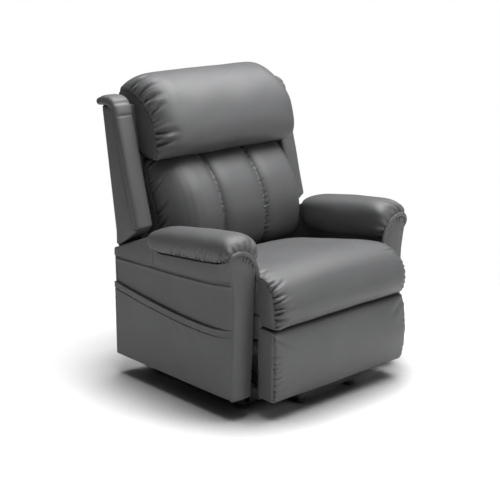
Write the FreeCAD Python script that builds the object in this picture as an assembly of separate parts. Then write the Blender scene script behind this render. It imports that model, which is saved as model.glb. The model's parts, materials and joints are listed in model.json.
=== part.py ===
# Powered sit-to-stand lift chair, in millimetres. +Z is up, the sitter faces -Y and +X is the
# sitter's left. The origin is on the floor, under the middle of the chair's overall length and width.
#
# A floor base carries a four-bar lift linkage. The linkage carries one carriage: seat frame, arms,
# legrest linkage and the reclining back. One node is one piece, or one set of equal fasteners.
import FreeCAD
import Part
import math
import os

V = FreeCAD.Vector
X_AXIS = V(1, 0, 0)
Y_AXIS = V(0, 1, 0)
Z_AXIS = V(0, 0, 1)
OUT = "parts"

# ---------------------------------------------------------------- driving dimensions
# Overall
ARM_OUT = 412.0            # half width over the arm boxes
ARM_IN = 327.0             # half width between the arm boxes
ARM_FRONT = -299.0
ARM_REAR = 318.0
ARM_BOTTOM = 71.0
SEAT_HALF = 303.0
FOOT_TOP = 20.0            # the base rails stand on glides this high
RAIL_TOP = 45.0

# Lift linkage, (y, z) with the chair down
B1 = (-213.1, 137.6)       # long arm on the base
B2 = (-272.0, 91.2)        # short link on the base
C1 = (235.0, 235.0)        # long arm on the carriage
C2 = (17.4, 130.2)         # short link on the carriage
TORQUE = (-20.0, 205.0)    # tube that ties the two long arms
LIFT_LEVER = 55.0          # lever radius about B1
LIFT_LEVER_ANGLE = 55.0    # degrees above +Y, chair down
LIFT_TAIL = (255.0, 95.0)  # tail pin of the lift actuator
LIFT_LENGTH = 445.4        # tail pin to the middle of the rod end's slot, retracted
LIFT_SLOPE = 168.19        # direction of the actuator, degrees above +Y
LIFT_SLOT = 4.0            # how far the slot runs past the pin each way

# Legrest linkage, (y, z) with the legrest down
P1 = (-230.0, 325.0)       # driven link on the seat frame, and the drive tube's axis
P2 = (-185.9, 323.1)       # idle link on the seat frame
E1 = (-56.7, 319.1)        # driven link to bent link c
E2 = (-20.0, 308.4)        # idle link to bent link d
X1 = (-252.5, 246.4)       # where c and d cross
F1 = (-306.0, 162.5)       # link d on the legrest
F2 = (-322.0, 107.7)       # link c on the legrest

# Recline, (y, z)
RECLINE = (285.0, 330.0)
RECLINE_LEVER = (302.2, 285.2)
RECLINE_TAIL = (48.0, 296.0)
RECLINE_LENGTH = 254.6
RECLINE_SLOPE = -2.747
RECLINE_SLOT = 1.7

# Layers along X of the flat steel links, inner and outer face
RAIL_INNER = (225.0, 229.0)
LAYER_A = (230.0, 234.0)
LAYER_C = (235.0, 239.0)
LAYER_D = (240.0, 244.0)
LAYER_B = (245.0, 249.0)
RAIL_OUTER = (250.0, 254.0)
HINGE_FIXED = (254.0, 260.0)
HINGE_MOVING = (261.5, 267.5)
LONG_ARM = (273.5, 279.5)
SIDE_PLATE = (281.0, 287.0)
SHORT_LINK = (288.5, 294.5)

PLAY = 0.05                # radial running clearance of the pivots
LINK_HALF = 11.0           # half width of the legrest links
STUD = 5.0                 # radius of the legrest studs
BOLT = 7.0                 # radius of the lift and hinge bolts
PIN = 5.5                  # radius of the recline actuator's pins
LOOSE_X = 1.6              # extra radius at the legrest linkage's two floating pivots
LOOSE_F = 1.3
LOOSE_C2 = 0.6             # and at the lift linkage's floating pivot

# Seat frame
SEAT_RAIL = (254.0, 281.0)
SEAT_Z = (300.0, 330.0)
BOX_Z = (262.0, 342.0)
WEB_TOP = 346.0


# ---------------------------------------------------------------- small tools
def box(x, y, z):
    """A block from its (low, high) pairs."""
    return Part.makeBox(x[1] - x[0], y[1] - y[0], z[1] - z[0], V(x[0], y[0], z[0]))


def rod_x(x, at, radius):
    """A round bar along X, with its axis through at = (y, z)."""
    return Part.makeCylinder(radius, x[1] - x[0], V(x[0], at[0], at[1]), X_AXIS)


def rod_between(start, end, radius, x=0.0):
    """A round bar from one (y, z) point to another, in the plane at x."""
    a = V(x, start[0], start[1])
    b = V(x, end[0], end[1])
    return Part.makeCylinder(radius, a.distanceToPoint(b), a, b.sub(a))


def polygon_face(points):
    return Part.Face(Part.makePolygon(points + [points[0]]))


def plate_yz(outline, x):
    """A flat plate: an outline of (y, z) points, from x[0] to x[1]."""
    face = polygon_face([V(x[0], p[0], p[1]) for p in outline])
    return face.extrude(V(x[1] - x[0], 0, 0))


def rounded_yz(outline, x, radius):
    """The same plate with its corners rounded."""
    plate = plate_yz(outline, x)
    corners = [e for e in plate.Edges if abs(e.tangentAt(e.FirstParameter).x) > 0.999]
    return plate.makeFillet(radius, corners)


def bar_yz(start, end, half_width, x):
    """A flat link with round ends, between two pivots."""
    dy = end[0] - start[0]
    dz = end[1] - start[1]
    length = math.hypot(dy, dz)
    ny = -dz / length * half_width
    nz = dy / length * half_width
    strip = plate_yz([(start[0] + ny, start[1] + nz), (end[0] + ny, end[1] + nz),
                      (end[0] - ny, end[1] - nz), (start[0] - ny, start[1] - nz)], x)
    return strip.fuse([rod_x(x, start, half_width), rod_x(x, end, half_width)]).removeSplitter()


def bent_link(pivots, half_width, x):
    """A flat link through several pivots, one bar per stretch."""
    bars = [bar_yz(a, b, half_width, x) for a, b in zip(pivots[:-1], pivots[1:])]
    link = bars[0]
    for bar in bars[1:]:
        link = link.fuse(bar)
    return link.removeSplitter()


def drill(shape, x, holes):
    """Cut round holes along X, given as (centre, radius)."""
    return shape.cut([rod_x((x[0] - 1, x[1] + 1), at, radius) for at, radius in holes])


def mirrored(shape):
    return shape.mirror(V(0, 0, 0), X_AXIS)


def both(shape):
    """The shape and its mirror image, as one group of solids."""
    return Part.makeCompound([shape, mirrored(shape)])


def loft(sections):
    """A smooth solid through closed sections, each a list of points."""
    wires = []
    for points in sections:
        curve = Part.BSplineCurve()
        curve.interpolate(Points=points, PeriodicFlag=True)
        wires.append(Part.Wire([curve.toShape()]))
    return Part.makeLoft(wires, True, False)


def loft_x(sections):
    """A loft along X from (x, [(y, z), ...]) sections."""
    return loft([[V(x, p[0], p[1]) for p in points] for x, points in sections])


def mix(a, b, t):
    """Points part of the way from outline a to outline b."""
    return [(p[0] + (q[0] - p[0]) * t, p[1] + (q[1] - p[1]) * t) for p, q in zip(a, b)]


def polar(centre, radius, degrees):
    angle = math.radians(degrees)
    return (centre[0] + radius * math.cos(angle), centre[1] + radius * math.sin(angle))


def save(name, shape):
    shape.exportStep(os.path.join(OUT, name + ".step"))


# ---------------------------------------------------------------- base
RAIL_X = (276.0, 306.0)
RAIL_Z = (FOOT_TOP, RAIL_TOP)
RAIL_Y = (-240.0, 250.0)
NOSE_Y = (-332.0, -302.0)  # narrow bar ahead of the base, under the legrest
NOSE_X = 138.0
WALL = 2.0                 # wall of the steel tubes


def tube_y(x, y, z):
    """A square tube along Y, open at its ends."""
    bore = box((x[0] + WALL, x[1] - WALL), (y[0] - 1, y[1] + 1), (z[0] + WALL, z[1] - WALL))
    return box(x, y, z).cut(bore)


def tube_x(x, y, z):
    """A square tube along X, open at its ends."""
    bore = box((x[0] - 1, x[1] + 1), (y[0] + WALL, y[1] - WALL), (z[0] + WALL, z[1] - WALL))
    return box(x, y, z).cut(bore)


def base_nose():
    """The narrow U-shaped bar ahead of the front cross tube."""
    bar = box((-NOSE_X, NOSE_X), NOSE_Y, RAIL_Z)
    leg = box((NOSE_X - 30.0, NOSE_X), (NOSE_Y[1], -232.0), RAIL_Z)
    nose = bar.fuse([leg, mirrored(leg)]).removeSplitter()
    uprights = [e for e in nose.Edges if abs(e.tangentAt(e.FirstParameter).z) > 0.999
                and abs(e.BoundBox.Center.y - NOSE_Y[0]) < 1 and abs(e.BoundBox.Center.x) > NOSE_X - 1]
    return nose.makeFillet(18.0, uprights)


def base_frame():
    """Welded floor frame: two side rails, two cross tubes and the nose."""
    side = tube_y(RAIL_X, RAIL_Y, RAIL_Z)
    inner = RAIL_X[0]
    front = tube_x((-inner, inner), (-232.0, -202.0), RAIL_Z)
    rear = tube_x((-inner, inner), (212.0, 242.0), RAIL_Z)
    return side.fuse([mirrored(side), front, rear, base_nose()]).removeSplitter()


def base_pivot_plates():
    outline = [(-300.0, RAIL_TOP), (-168.0, RAIL_TOP), (-186.0, 150.0), (-205.0, 164.0),
               (-232.0, 160.0), (-292.0, 112.0)]
    plate = rounded_yz(outline, SIDE_PLATE, 6.0)
    return both(drill(plate, SIDE_PLATE, [(B1, BOLT), (B2, BOLT)]))


def base_actuator_clevis():
    """Two ears on the rear cross tube that hold the lift actuator's tail pin."""
    ear_x = (24.0, 30.0)
    outline = [(214.0, RAIL_TOP), (268.0, RAIL_TOP), (272.0, 90.0), (264.0, 110.0),
               (246.0, 110.0), (236.0, 92.0)]
    ear = drill(rounded_yz(outline, ear_x, 5.0), ear_x, [(LIFT_TAIL, BOLT)])
    return both(ear)


def glide_feet():
    """Six round glides: a stem disc under the rail and a wider pad on the floor."""
    feet = []
    spots = [(291.0, -222.0), (291.0, 226.0), (120.0, -317.0)]
    for x, y in spots:
        profile = [V(0, 0, 0), V(15.0, 0, 0), V(18.0, 0, 3.0), V(18.0, 0, 8.0), V(11.0, 0, 12.0),
                   V(11.0, 0, FOOT_TOP), V(0, 0, FOOT_TOP)]
        foot = polygon_face(profile).revolve(V(0, 0, 0), Z_AXIS, 360)
        for side in (1, -1):
            placed = foot.copy()
            placed.translate(V(side * x, y, 0))
            feet.append(placed)
    return Part.makeCompound(feet)


def pivot_bolt(x, at, head_x, radius=BOLT, head=11.0):
    """A bolt along X, with a round head at its outer end."""
    bolt = rod_x(x, at, radius)
    if head_x is None:
        return bolt
    return bolt.fuse(rod_x(head_x, at, head)).removeSplitter()


def base_pivot_bolts():
    long_arm = pivot_bolt((LONG_ARM[0] - 1.0, SIDE_PLATE[1]), B1, (LONG_ARM[0] - 5.0, LONG_ARM[0] - 1.0))
    short_link = pivot_bolt((SIDE_PLATE[0], SHORT_LINK[1] + 1.0), B2,
                            (SHORT_LINK[1] + 1.0, SHORT_LINK[1] + 5.0))
    tail = rod_x((-33.0, 33.0), LIFT_TAIL, BOLT)
    return Part.makeCompound([long_arm, mirrored(long_arm), short_link, mirrored(short_link), tail])


# ---------------------------------------------------------------- lift linkage
TORQUE_R = 15.0
LEVER_X = (14.0, 20.0)
LEVER_PIN = polar(B1, LIFT_LEVER, LIFT_LEVER_ANGLE)


def lift_arms():
    """The pair of long arms, each with a lobe that the torque tube passes into."""
    arm = bar_yz(B1, C1, 20.0, LONG_ARM).fuse(rod_x(LONG_ARM, TORQUE, 24.0)).removeSplitter()
    return both(drill(arm, LONG_ARM, [(B1, BOLT + PLAY), (C1, BOLT + PLAY), (TORQUE, TORQUE_R)]))


def lift_torque_tube():
    """The tube between the long arms, with the two lever plates at its middle."""
    reach = LONG_ARM[1]
    tube = rod_x((-reach, reach), TORQUE, TORQUE_R).cut(rod_x((-reach - 1, reach + 1), TORQUE, 12.5))
    lever = drill(bar_yz(TORQUE, LEVER_PIN, 15.0, LEVER_X), LEVER_X,
                  [(LEVER_PIN, BOLT), (TORQUE, 13.5)])
    return tube.fuse([lever, mirrored(lever)]).removeSplitter()


def lift_lever_pin():
    return rod_x((-LEVER_X[1] - 3.0, LEVER_X[1] + 3.0), LEVER_PIN, BOLT)


def lift_links():
    link = bar_yz(B2, C2, 13.0, SHORT_LINK)
    return both(drill(link, SHORT_LINK, [(B2, BOLT + PLAY), (C2, BOLT + LOOSE_C2)]))


# ---------------------------------------------------------------- actuators
GEARBOX = 60.0             # length of an actuator's gearbox along its tube


def actuator_housing(tail, slope, tube_end, tube_r, rod_r, pin, motor_side, motor_r, motor_len):
    """Tail eye, gearbox, outer tube and a motor beside it. motor_side is +1 or -1 across the tube."""
    def at(distance):
        return polar(tail, distance, slope)

    eye = rod_x((-22.0, 22.0), tail, 14.0)
    width = 44.0
    depth = width + 2.0 * motor_r - 8.0
    low = -width / 2.0 if motor_side > 0 else width / 2.0 - depth
    block = Part.makeBox(width, GEARBOX, depth, V(-width / 2.0, 0, low))
    block = block.makeFillet(7.0, [e for e in block.Edges if abs(e.tangentAt(e.FirstParameter).y) > 0.999])
    block.rotate(V(0, 0, 0), X_AXIS, slope)
    gear_start = at(12.0)
    block.translate(V(0, gear_start[0], gear_start[1]))
    tube = rod_between(at(12.0 + GEARBOX), at(tube_end), tube_r)
    shift = width / 2.0 + motor_r - 5.0
    side = slope + 90.0 * motor_side
    motor = rod_between(polar(at(12.0 + GEARBOX), shift, side),
                        polar(at(12.0 + GEARBOX + motor_len), shift, side), motor_r)
    neck = rod_between(tail, gear_start, 10.0)
    housing = block.fuse([eye, neck, tube, motor]).removeSplitter()
    bore = rod_between(at(GEARBOX + 22.0), at(tube_end + 1.0), rod_r + 2.0 * PLAY)
    return housing.cut([bore, rod_x((-23.0, 23.0), tail, pin + PLAY)])


def actuator_rod(tail, slope, length, rod_start, rod_r, pin, slot, play, eye_half):
    """Rod and rod end. The eye is a slot across the rod, longer than its pin by slot each way."""
    head = polar(tail, length, slope)
    rod = rod_between(polar(tail, rod_start, slope), head, rod_r)
    top = polar(head, slot, slope + 90.0)
    low = polar(head, -slot, slope + 90.0)
    outer = bar_yz(low, top, pin + 4.5, (-eye_half, eye_half))
    inner = bar_yz(low, top, pin + play, (-eye_half - 1.0, eye_half + 1.0))
    return rod.fuse(outer).removeSplitter().cut(inner)


def lift_motor():
    return actuator_housing(LIFT_TAIL, LIFT_SLOPE, 320.0, 15.0, 9.0, BOLT, -1, 26.0, 100.0)


def lift_rod():
    return actuator_rod(LIFT_TAIL, LIFT_SLOPE, LIFT_LENGTH, 180.0, 9.0, BOLT, LIFT_SLOT, 0.7, 12.0)


def recline_motor():
    return actuator_housing(RECLINE_TAIL, RECLINE_SLOPE, 176.0, 14.0, 8.0, PIN, -1, 20.0, 60.0)


def recline_rod():
    return actuator_rod(RECLINE_TAIL, RECLINE_SLOPE, RECLINE_LENGTH, 118.0, 8.0, PIN, RECLINE_SLOT,
                        0.4, 11.0)


# ---------------------------------------------------------------- seat frame
CROSS_FRONT = ((-300.0, -285.0), (308.0, 330.0))
CROSS_MID = ((-7.0, 18.0), SEAT_Z)
CROSS_REAR = ((240.0, 262.0), SEAT_Z)


def seat_frame():
    """Two side rails and three cross tubes, with the ears of the recline hinge."""
    x = SEAT_RAIL
    rail = box(x, (-300.0, 262.0), SEAT_Z)
    inner = x[0]
    pieces = [rail, mirrored(rail)]
    for y, z in (CROSS_FRONT, CROSS_MID, CROSS_REAR):
        pieces.append(box((-inner, inner), y, z))
    ear = plate_yz([(262.0, 312.0), (285.0, 316.0), (285.0, 348.0), (262.0, 330.0)], HINGE_FIXED)
    ear = drill(ear.fuse(rod_x(HINGE_FIXED, RECLINE, 18.0)).removeSplitter(), HINGE_FIXED,
                [(RECLINE, BOLT)])
    tail_ear_x = (24.0, 30.0)
    y, z = RECLINE_TAIL
    tail_ear = plate_yz([(CROSS_MID[0][1], SEAT_Z[0]), (y, z - 14.0), (y, z + 14.0),
                         (CROSS_MID[0][1], SEAT_Z[1])], tail_ear_x)
    tail_ear = drill(tail_ear.fuse(rod_x(tail_ear_x, RECLINE_TAIL, 14.0)).removeSplitter(), tail_ear_x,
                     [(RECLINE_TAIL, PIN)])
    frame = pieces[0].fuse(pieces[1:] + [ear, mirrored(ear), tail_ear, mirrored(tail_ear)])
    return frame.removeSplitter()


def carriage_plates():
    """Steel plates that carry the seat frame on the lift linkage."""
    outline = [(-4.0, 112.0), (38.0, 112.0), (258.0, 214.0), (262.0, 330.0), (-10.0, 330.0)]
    plate = rounded_yz(outline, SIDE_PLATE, 9.0)
    window = rounded_yz([(40.0, 190.0), (130.0, 205.0), (130.0, 250.0), (40.0, 250.0)],
                        (SIDE_PLATE[0] - 1, SIDE_PLATE[1] + 1), 8.0)
    plate = plate.cut(window)
    return both(drill(plate, SIDE_PLATE, [(C1, BOLT), (C2, BOLT)]))


def legrest_rails():
    """Flat rails that the legrest links hang on, one each side of every linkage."""
    rear = CROSS_MID[0][0]
    outline = [(-285.0, 308.0), (-265.0, 303.0), (rear, 303.0), (rear, 326.0), (-170.0, 340.0),
               (-285.0, 340.0)]
    inner = drill(plate_yz(outline, RAIL_INNER), RAIL_INNER, [(P1, 10.0 + PLAY)])
    outer = plate_yz([(-285.0, 308.0), (-265.0, 303.0), (-150.0, 303.0), (-160.0, 340.0),
                      (-285.0, 340.0)], RAIL_OUTER)
    outer = drill(outer, RAIL_OUTER, [(P2, STUD)])
    return Part.makeCompound([inner, outer, mirrored(inner), mirrored(outer)])


def carriage_pivot_bolts():
    upper = pivot_bolt((LONG_ARM[0] - 1.0, SIDE_PLATE[1]), C1, (LONG_ARM[0] - 5.0, LONG_ARM[0] - 1.0))
    lower = pivot_bolt((SIDE_PLATE[0], SHORT_LINK[1] + 1.0), C2,
                       (SHORT_LINK[1] + 1.0, SHORT_LINK[1] + 5.0))
    hinge = pivot_bolt((HINGE_FIXED[0], HINGE_MOVING[1] + 1.0), RECLINE,
                       (HINGE_MOVING[1] + 1.0, HINGE_MOVING[1] + 4.5))
    idle = rod_x((LAYER_B[0], RAIL_OUTER[1]), P2, STUD)
    tail = rod_x((-33.0, 33.0), RECLINE_TAIL, PIN)
    halves = [upper, lower, hinge, idle]
    return Part.makeCompound(halves + [mirrored(s) for s in halves] + [tail])


def seat_box():
    """Timber frame round the seat springs: two sides, a front and a rear board."""
    side = box((SIDE_PLATE[1], SEAT_HALF), (-316.0, 240.0), BOX_Z)
    front = box((-SIDE_PLATE[1], SIDE_PLATE[1]), (-316.0, -300.0), (303.0, BOX_Z[1]))
    rear = box((-SIDE_PLATE[1], SIDE_PLATE[1]), (100.0, 118.0), (330.0, BOX_Z[1]))
    return side.fuse([mirrored(side), front, rear]).removeSplitter()


def seat_webbing():
    """Elastic straps across the seat box."""
    straps = []
    count = 7
    pitch = 58.0
    for i in range(count):
        y = -306.0 + i * pitch
        straps.append(box((-SEAT_HALF, SEAT_HALF), (y, y + 46.0), (BOX_Z[1], WEB_TOP - 2.0)))
    return Part.makeCompound(straps)


def arm_spacers():
    """Blocks that the arms are bolted through, onto the seat box."""
    blocks = [box((SEAT_HALF, ARM_IN), (y, y + 40.0), (268.0, 300.0)) for y in (-250.0, 160.0)]
    return Part.makeCompound(blocks + [mirrored(b) for b in blocks])


def legrest_gearmotor():
    """Gearbox on the legrest's drive tube, with its motor to the rear."""
    block = box((-38.0, 38.0), (-285.0, -198.0), (294.0, 339.0))
    block = block.makeFillet(6.0, [e for e in block.Edges if abs(e.tangentAt(e.FirstParameter).x) > 0.999])
    foot = box((-38.0, 38.0), (-285.0, -270.0), (309.0, 329.0))
    motor = Part.makeCylinder(22.0, 120.0, V(0, -204.0, 316.0), Y_AXIS)
    cap = Part.makeCylinder(18.0, 10.0, V(0, -84.0, 316.0), Y_AXIS)
    housing = block.fuse([foot, motor, cap]).removeSplitter()
    return housing.cut(rod_x((-39.0, 39.0), P1, 10.0 + PLAY))


def control_box():
    """Controller under the seat: a shallow case with a row of bare sockets in its rear face."""
    case = box((-190.0, -80.0), (20.0, 160.0), (292.0, 328.0))
    case = case.makeFillet(5.0, [e for e in case.Edges if abs(e.tangentAt(e.FirstParameter).z) > 0.999])
    sockets = [box((-182.0 + i * 25.0, -164.0 + i * 25.0), (148.0, 161.0), (303.0, 319.0)) for i in range(4)]
    hanger = box((-180.0, -90.0), (CROSS_MID[0][1], 20.0), (304.0, 328.0))
    return case.cut(sockets).fuse(hanger).removeSplitter()


def rear_valance():
    """Covered board that closes the rear between the arms, below the reclining back."""
    return box((-ARM_IN, ARM_IN), (304.0, 312.0), (92.0, 268.0))


# ---------------------------------------------------------------- legrest
def legrest_drive_tube():
    reach = LAYER_A[1]
    return rod_x((-reach, reach), P1, 10.0).cut(rod_x((-reach - 1, reach + 1), P1, 8.0))


def riveted(bar, x, at):
    """A link with a stud riveted into it, flush with the link that turns on it."""
    return bar.fuse(rod_x(x, at, STUD)).removeSplitter()


def link_a():
    bar = bar_yz(P1, E1, LINK_HALF, LAYER_A).fuse(rod_x(LAYER_A, P1, 15.0)).removeSplitter()
    return both(riveted(drill(bar, LAYER_A, [(P1, 10.0)]), (LAYER_A[0], LAYER_C[1]), E1))


def link_b():
    bar = drill(bar_yz(P2, E2, LINK_HALF, LAYER_B), LAYER_B, [(P2, STUD + PLAY)])
    return both(riveted(bar, (LAYER_D[0], LAYER_B[1]), E2))


def link_c():
    bar = drill(bent_link([E1, X1, F2], LINK_HALF, LAYER_C), LAYER_C,
                [(E1, STUD + PLAY), (F2, STUD + PLAY)])
    return both(riveted(bar, (LAYER_C[0], LAYER_D[1]), X1))


def link_d():
    bar = bent_link([E2, X1, F1], LINK_HALF, LAYER_D)
    return both(drill(bar, LAYER_D, [(E2, STUD + PLAY), (X1, STUD + LOOSE_X), (F1, STUD + LOOSE_F)]))


LEGREST_Z = (64.0, 304.0)
LEGREST_HALF = 311.0
LEGREST_FRONT = -388.0
BOARD_Y = (-346.0, -336.0)
LEGREST_REAR = -320.0


def legrest_brackets():
    """Two eared angles a side on the legrest board."""
    low = plate_yz([(BOARD_Y[1], 84.0), (-326.0, 84.0), (-309.0, 100.0), (-309.0, 115.0), (-326.0, 131.0),
                    (BOARD_Y[1], 131.0)], LAYER_A)
    low = low.fuse(box((206.0, LAYER_A[1]), (BOARD_Y[1], BOARD_Y[1] + 2.5), (84.0, 131.0)))
    low = drill(low, LAYER_A, [(F2, STUD)])
    high = plate_yz([(BOARD_Y[1], 140.0), (-312.0, 140.0), (-293.0, 155.0), (-293.0, 170.0),
                     (-312.0, 185.0), (BOARD_Y[1], 185.0)], LAYER_B)
    high = high.fuse(box((LAYER_B[0], 273.0), (BOARD_Y[1], BOARD_Y[1] + 2.5), (140.0, 185.0)))
    high = drill(high, LAYER_B, [(F1, STUD)])
    return Part.makeCompound([low, high, mirrored(low), mirrored(high)])


def legrest_studs():
    low = rod_x((LAYER_A[0], LAYER_C[1]), F2, STUD)
    high = rod_x((LAYER_D[0], LAYER_B[1]), F1, STUD)
    return Part.makeCompound([low, high, mirrored(low), mirrored(high)])


def legrest_frame():
    """Plywood board with a shallow timber rim round its rear."""
    half = LEGREST_HALF - 9.0
    z = (LEGREST_Z[0] + 8.0, LEGREST_Z[1] - 8.0)
    board = box((-half, half), BOARD_Y, z)
    rim = box((-half, half), (BOARD_Y[1], LEGREST_REAR), z)
    well = box((-half + 18.0, half - 18.0), (BOARD_Y[1], LEGREST_REAR + 1), (z[0] + 10.0, z[1] - 10.0))
    return board.fuse(rim.cut(well)).removeSplitter()


def legrest_pad():
    """Upholstered front of the legrest, wrapped round the board's four edges."""
    half = LEGREST_HALF
    low, high = LEGREST_Z
    outline = [V(-half, LEGREST_REAR, 0), V(-half, LEGREST_FRONT, 0), V(half, LEGREST_FRONT, 0),
               V(half, LEGREST_REAR, 0)]
    pad = polygon_face(outline).extrude(V(0, 0, high - low))
    pad.translate(V(0, 0, low))
    front = [e for e in pad.Edges if e.BoundBox.YMax < LEGREST_FRONT + 0.5]
    pad = pad.makeFillet(10.0, front)
    inside = LEGREST_HALF - 9.0
    well = box((-inside, inside), (BOARD_Y[0], LEGREST_REAR + 1), (low + 8.0, high - 8.0))
    return pad.cut(well)


# ---------------------------------------------------------------- arms, +X side
ROLL_X = 353.0             # middle of the arm roll
ROLL_A = 64.0              # its half width
SLOPE_TOP = (121.0, 533.0)
SLOPE_LOW = (ARM_REAR, 461.0)


def arm_outline(front_top, rear_top):
    """Side view of an arm below its roll: the top edge's two ends, then the rear slope."""
    return [(ARM_FRONT + 12.0, ARM_BOTTOM), (ARM_REAR, ARM_BOTTOM), SLOPE_LOW, SLOPE_TOP,
            (119.0, 518.0), (84.0, rear_top + 1.0), (60.0, rear_top), (ARM_FRONT + 12.0, front_top)]


def arm_outer_panel():
    return plate_yz(arm_outline(510.0, 487.0), (398.0, 404.5))


def arm_inner_panel():
    return plate_yz(arm_outline(500.0, 482.0), (ARM_IN, 335.0))


def arm_frame():
    """Timber posts and rails between the two side panels."""
    x = (335.0, 398.0)
    front = box(x, (ARM_FRONT + 12.0, ARM_FRONT + 34.0), (ARM_BOTTOM + 4.0, 478.0))
    rear = box(x, (288.0, 306.0), (ARM_BOTTOM + 4.0, 452.0))
    low = box(x, (ARM_FRONT + 34.0, 288.0), (ARM_BOTTOM + 4.0, ARM_BOTTOM + 28.0))
    top = plate_yz([(ARM_FRONT + 34.0, 456.0), (70.0, 440.0), (70.0, 460.0), (ARM_FRONT + 34.0, 478.0)], x)
    slope = plate_yz([(70.0, 440.0), (96.0, 460.0), (122.0, 500.0), (306.0, 434.0), (306.0, 452.0),
                      (118.0, 519.0), (84.0, 478.0), (70.0, 460.0)], x)
    return front.fuse([rear, low, top, slope]).removeSplitter()


def arm_rear_cover():
    """Covered board down the rear of the arm and over its sloping top."""
    outline = [(306.0, ARM_BOTTOM), (ARM_REAR, ARM_BOTTOM), SLOPE_LOW, SLOPE_TOP, (118.0, 520.0),
               (306.0, 453.0)]
    return plate_yz(outline, (335.0, 398.0))


def arm_front_panel():
    """Arched panel on the front of the arm, drawn in to a waist under the roll."""
    y = ARM_FRONT
    low_out = V(408.0, y, ARM_BOTTOM)
    low_in = V(ARM_IN, y, ARM_BOTTOM)
    arch_in = V(312.0, y, 340.0)
    edge = Part.BSplineCurve()
    edge.interpolate(Points=[low_out, V(403.0, y, 190.0), V(398.0, y, 330.0), V(400.0, y, 430.0),
                             V(409.0, y, 486.0), V(419.0, y, 535.0), V(396.0, y, 560.0), V(354.0, y, 566.0),
                             V(315.0, y, 553.0), V(302.0, y, 520.0), V(308.0, y, 465.0), arch_in],
                     InitialTangent=V(-0.04, 0, 1), FinalTangent=V(0.07, 0, -1))
    inner = Part.makeLine(arch_in, low_in)
    face = Part.Face(Part.Wire([Part.makeLine(low_in, low_out), edge.toShape(), inner]))
    return face.extrude(V(0, 12.0, 0))


def arm_pocket():
    """Flat storage pocket: a sheet held off the side panel along its foot and both ends."""
    hem = [(ARM_FRONT + 12.0, 314.0), (7.0, 320.0), (ARM_REAR, 341.0)]
    outline = [(ARM_FRONT + 12.0, ARM_BOTTOM), (ARM_REAR, ARM_BOTTOM), hem[2], hem[1], hem[0]]
    sheet = plate_yz(outline, (409.5, ARM_OUT))
    gap = (404.5, 409.5)
    foot = box(gap, (ARM_FRONT + 12.0, ARM_REAR), (ARM_BOTTOM, ARM_BOTTOM + 12.0))
    front = box(gap, (ARM_FRONT + 12.0, ARM_FRONT + 24.0), (ARM_BOTTOM + 12.0, 313.0))
    rear = box(gap, (ARM_REAR - 12.0, ARM_REAR), (ARM_BOTTOM + 12.0, 338.0))
    return sheet.fuse([foot, front, rear]).removeSplitter()


def ring_xz(y, half_width, low, high, x=ROLL_X):
    """Points round an arm roll's section at y."""
    middle = (low + high) / 2.0
    half = (high - low) / 2.0
    points = []
    for i in range(8):
        angle = math.radians(45.0 * i)
        swell = 1.05 if i % 2 else 1.0
        points.append(V(x + half_width * swell * math.cos(angle), y, middle + half * swell * math.sin(angle)))
    return points


def arm_roll():
    """Padded roll along the top of the arm, blunt in front and bullet-nosed at the rear."""
    sections = [
        ring_xz(ARM_FRONT + 12.5, 61.0, 503.0, 603.0),
        ring_xz(-268.0, ROLL_A, 500.0, 608.0),
        ring_xz(-180.0, ROLL_A, 496.0, 603.0),
        ring_xz(-60.0, ROLL_A - 1.0, 490.0, 591.0),
        ring_xz(40.0, ROLL_A - 3.0, 484.0, 581.0),
        ring_xz(90.0, 56.0, 483.0, 571.0, ROLL_X + 4.0),
        ring_xz(120.0, 44.0, 486.0, 558.0, ROLL_X + 7.0),
        ring_xz(138.0, 28.0, 492.0, 540.0, ROLL_X + 9.0),
        ring_xz(146.0, 10.0, 505.0, 522.0, ROLL_X + 10.0),
    ]
    saddle = plate_yz([(40.0, 470.0), (60.0, 488.0), (84.0, 489.0), (115.0, 519.0), (115.0, 523.0), SLOPE_TOP, SLOPE_LOW,
                       (ARM_REAR, 440.0), (40.0, 440.0)], (ARM_IN - 1.0, 405.0))
    return loft(sections).cut(saddle)


# ---------------------------------------------------------------- switch on the +X arm
SWITCH_Y = (-190.0, -110.0)
SWITCH_Z = (398.0, 438.0)
BUTTON_R = 12.0
BUTTON_TRAVEL = 1.5
BUTTONS = {"button_raise": -168.0, "button_lower": -132.0}
PLATE_X = (404.5, 409.0)


def switch_panel():
    """Bezel with two wells for the push buttons."""
    plate = box(PLATE_X, SWITCH_Y, SWITCH_Z)
    plate = plate.makeFillet(8.0, [e for e in plate.Edges if abs(e.tangentAt(e.FirstParameter).x) > 0.999])
    middle = (SWITCH_Z[0] + SWITCH_Z[1]) / 2.0
    wells = [rod_x((PLATE_X[0] + 1.0, PLATE_X[1] + 1), (y, middle), BUTTON_R + 0.3) for y in BUTTONS.values()]
    return plate.cut(wells)


def button(y):
    """Push button with a dished face, clear of the well's floor by its travel."""
    middle = (SWITCH_Z[0] + SWITCH_Z[1]) / 2.0
    face = PLATE_X[1] + 1.8
    cap = rod_x((PLATE_X[0] + 1.0 + BUTTON_TRAVEL + 0.4, face), (y, middle), BUTTON_R)
    cap = cap.makeFillet(1.0, [e for e in cap.Edges if e.BoundBox.XMin > face - 0.1])
    return cap.cut(Part.makeSphere(40.0, V(face + 39.2, y, middle)))


# ---------------------------------------------------------------- back
def rear_line(z):
    """Y of the back's rear face at height z: it leans 8 degrees."""
    return 310.0 + 0.1398 * (z - 462.0)


def front_line(z):
    """Y of the front edge of the side wings at height z: it leans 14.9 degrees."""
    return 190.0 + 0.2659 * (z - 540.0)


FRAME_TOP = 945.0
COVER = 6.0                # thickness of the back's rear panel
STILE_DEPTH = 50.0
LOWER_REAR = 320.0         # rear face below the wings
BEND_Z = 533.6             # where the rear face starts to lean


def stile_front(z):
    return rear_line(max(z, BEND_Z)) - COVER - STILE_DEPTH


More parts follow.
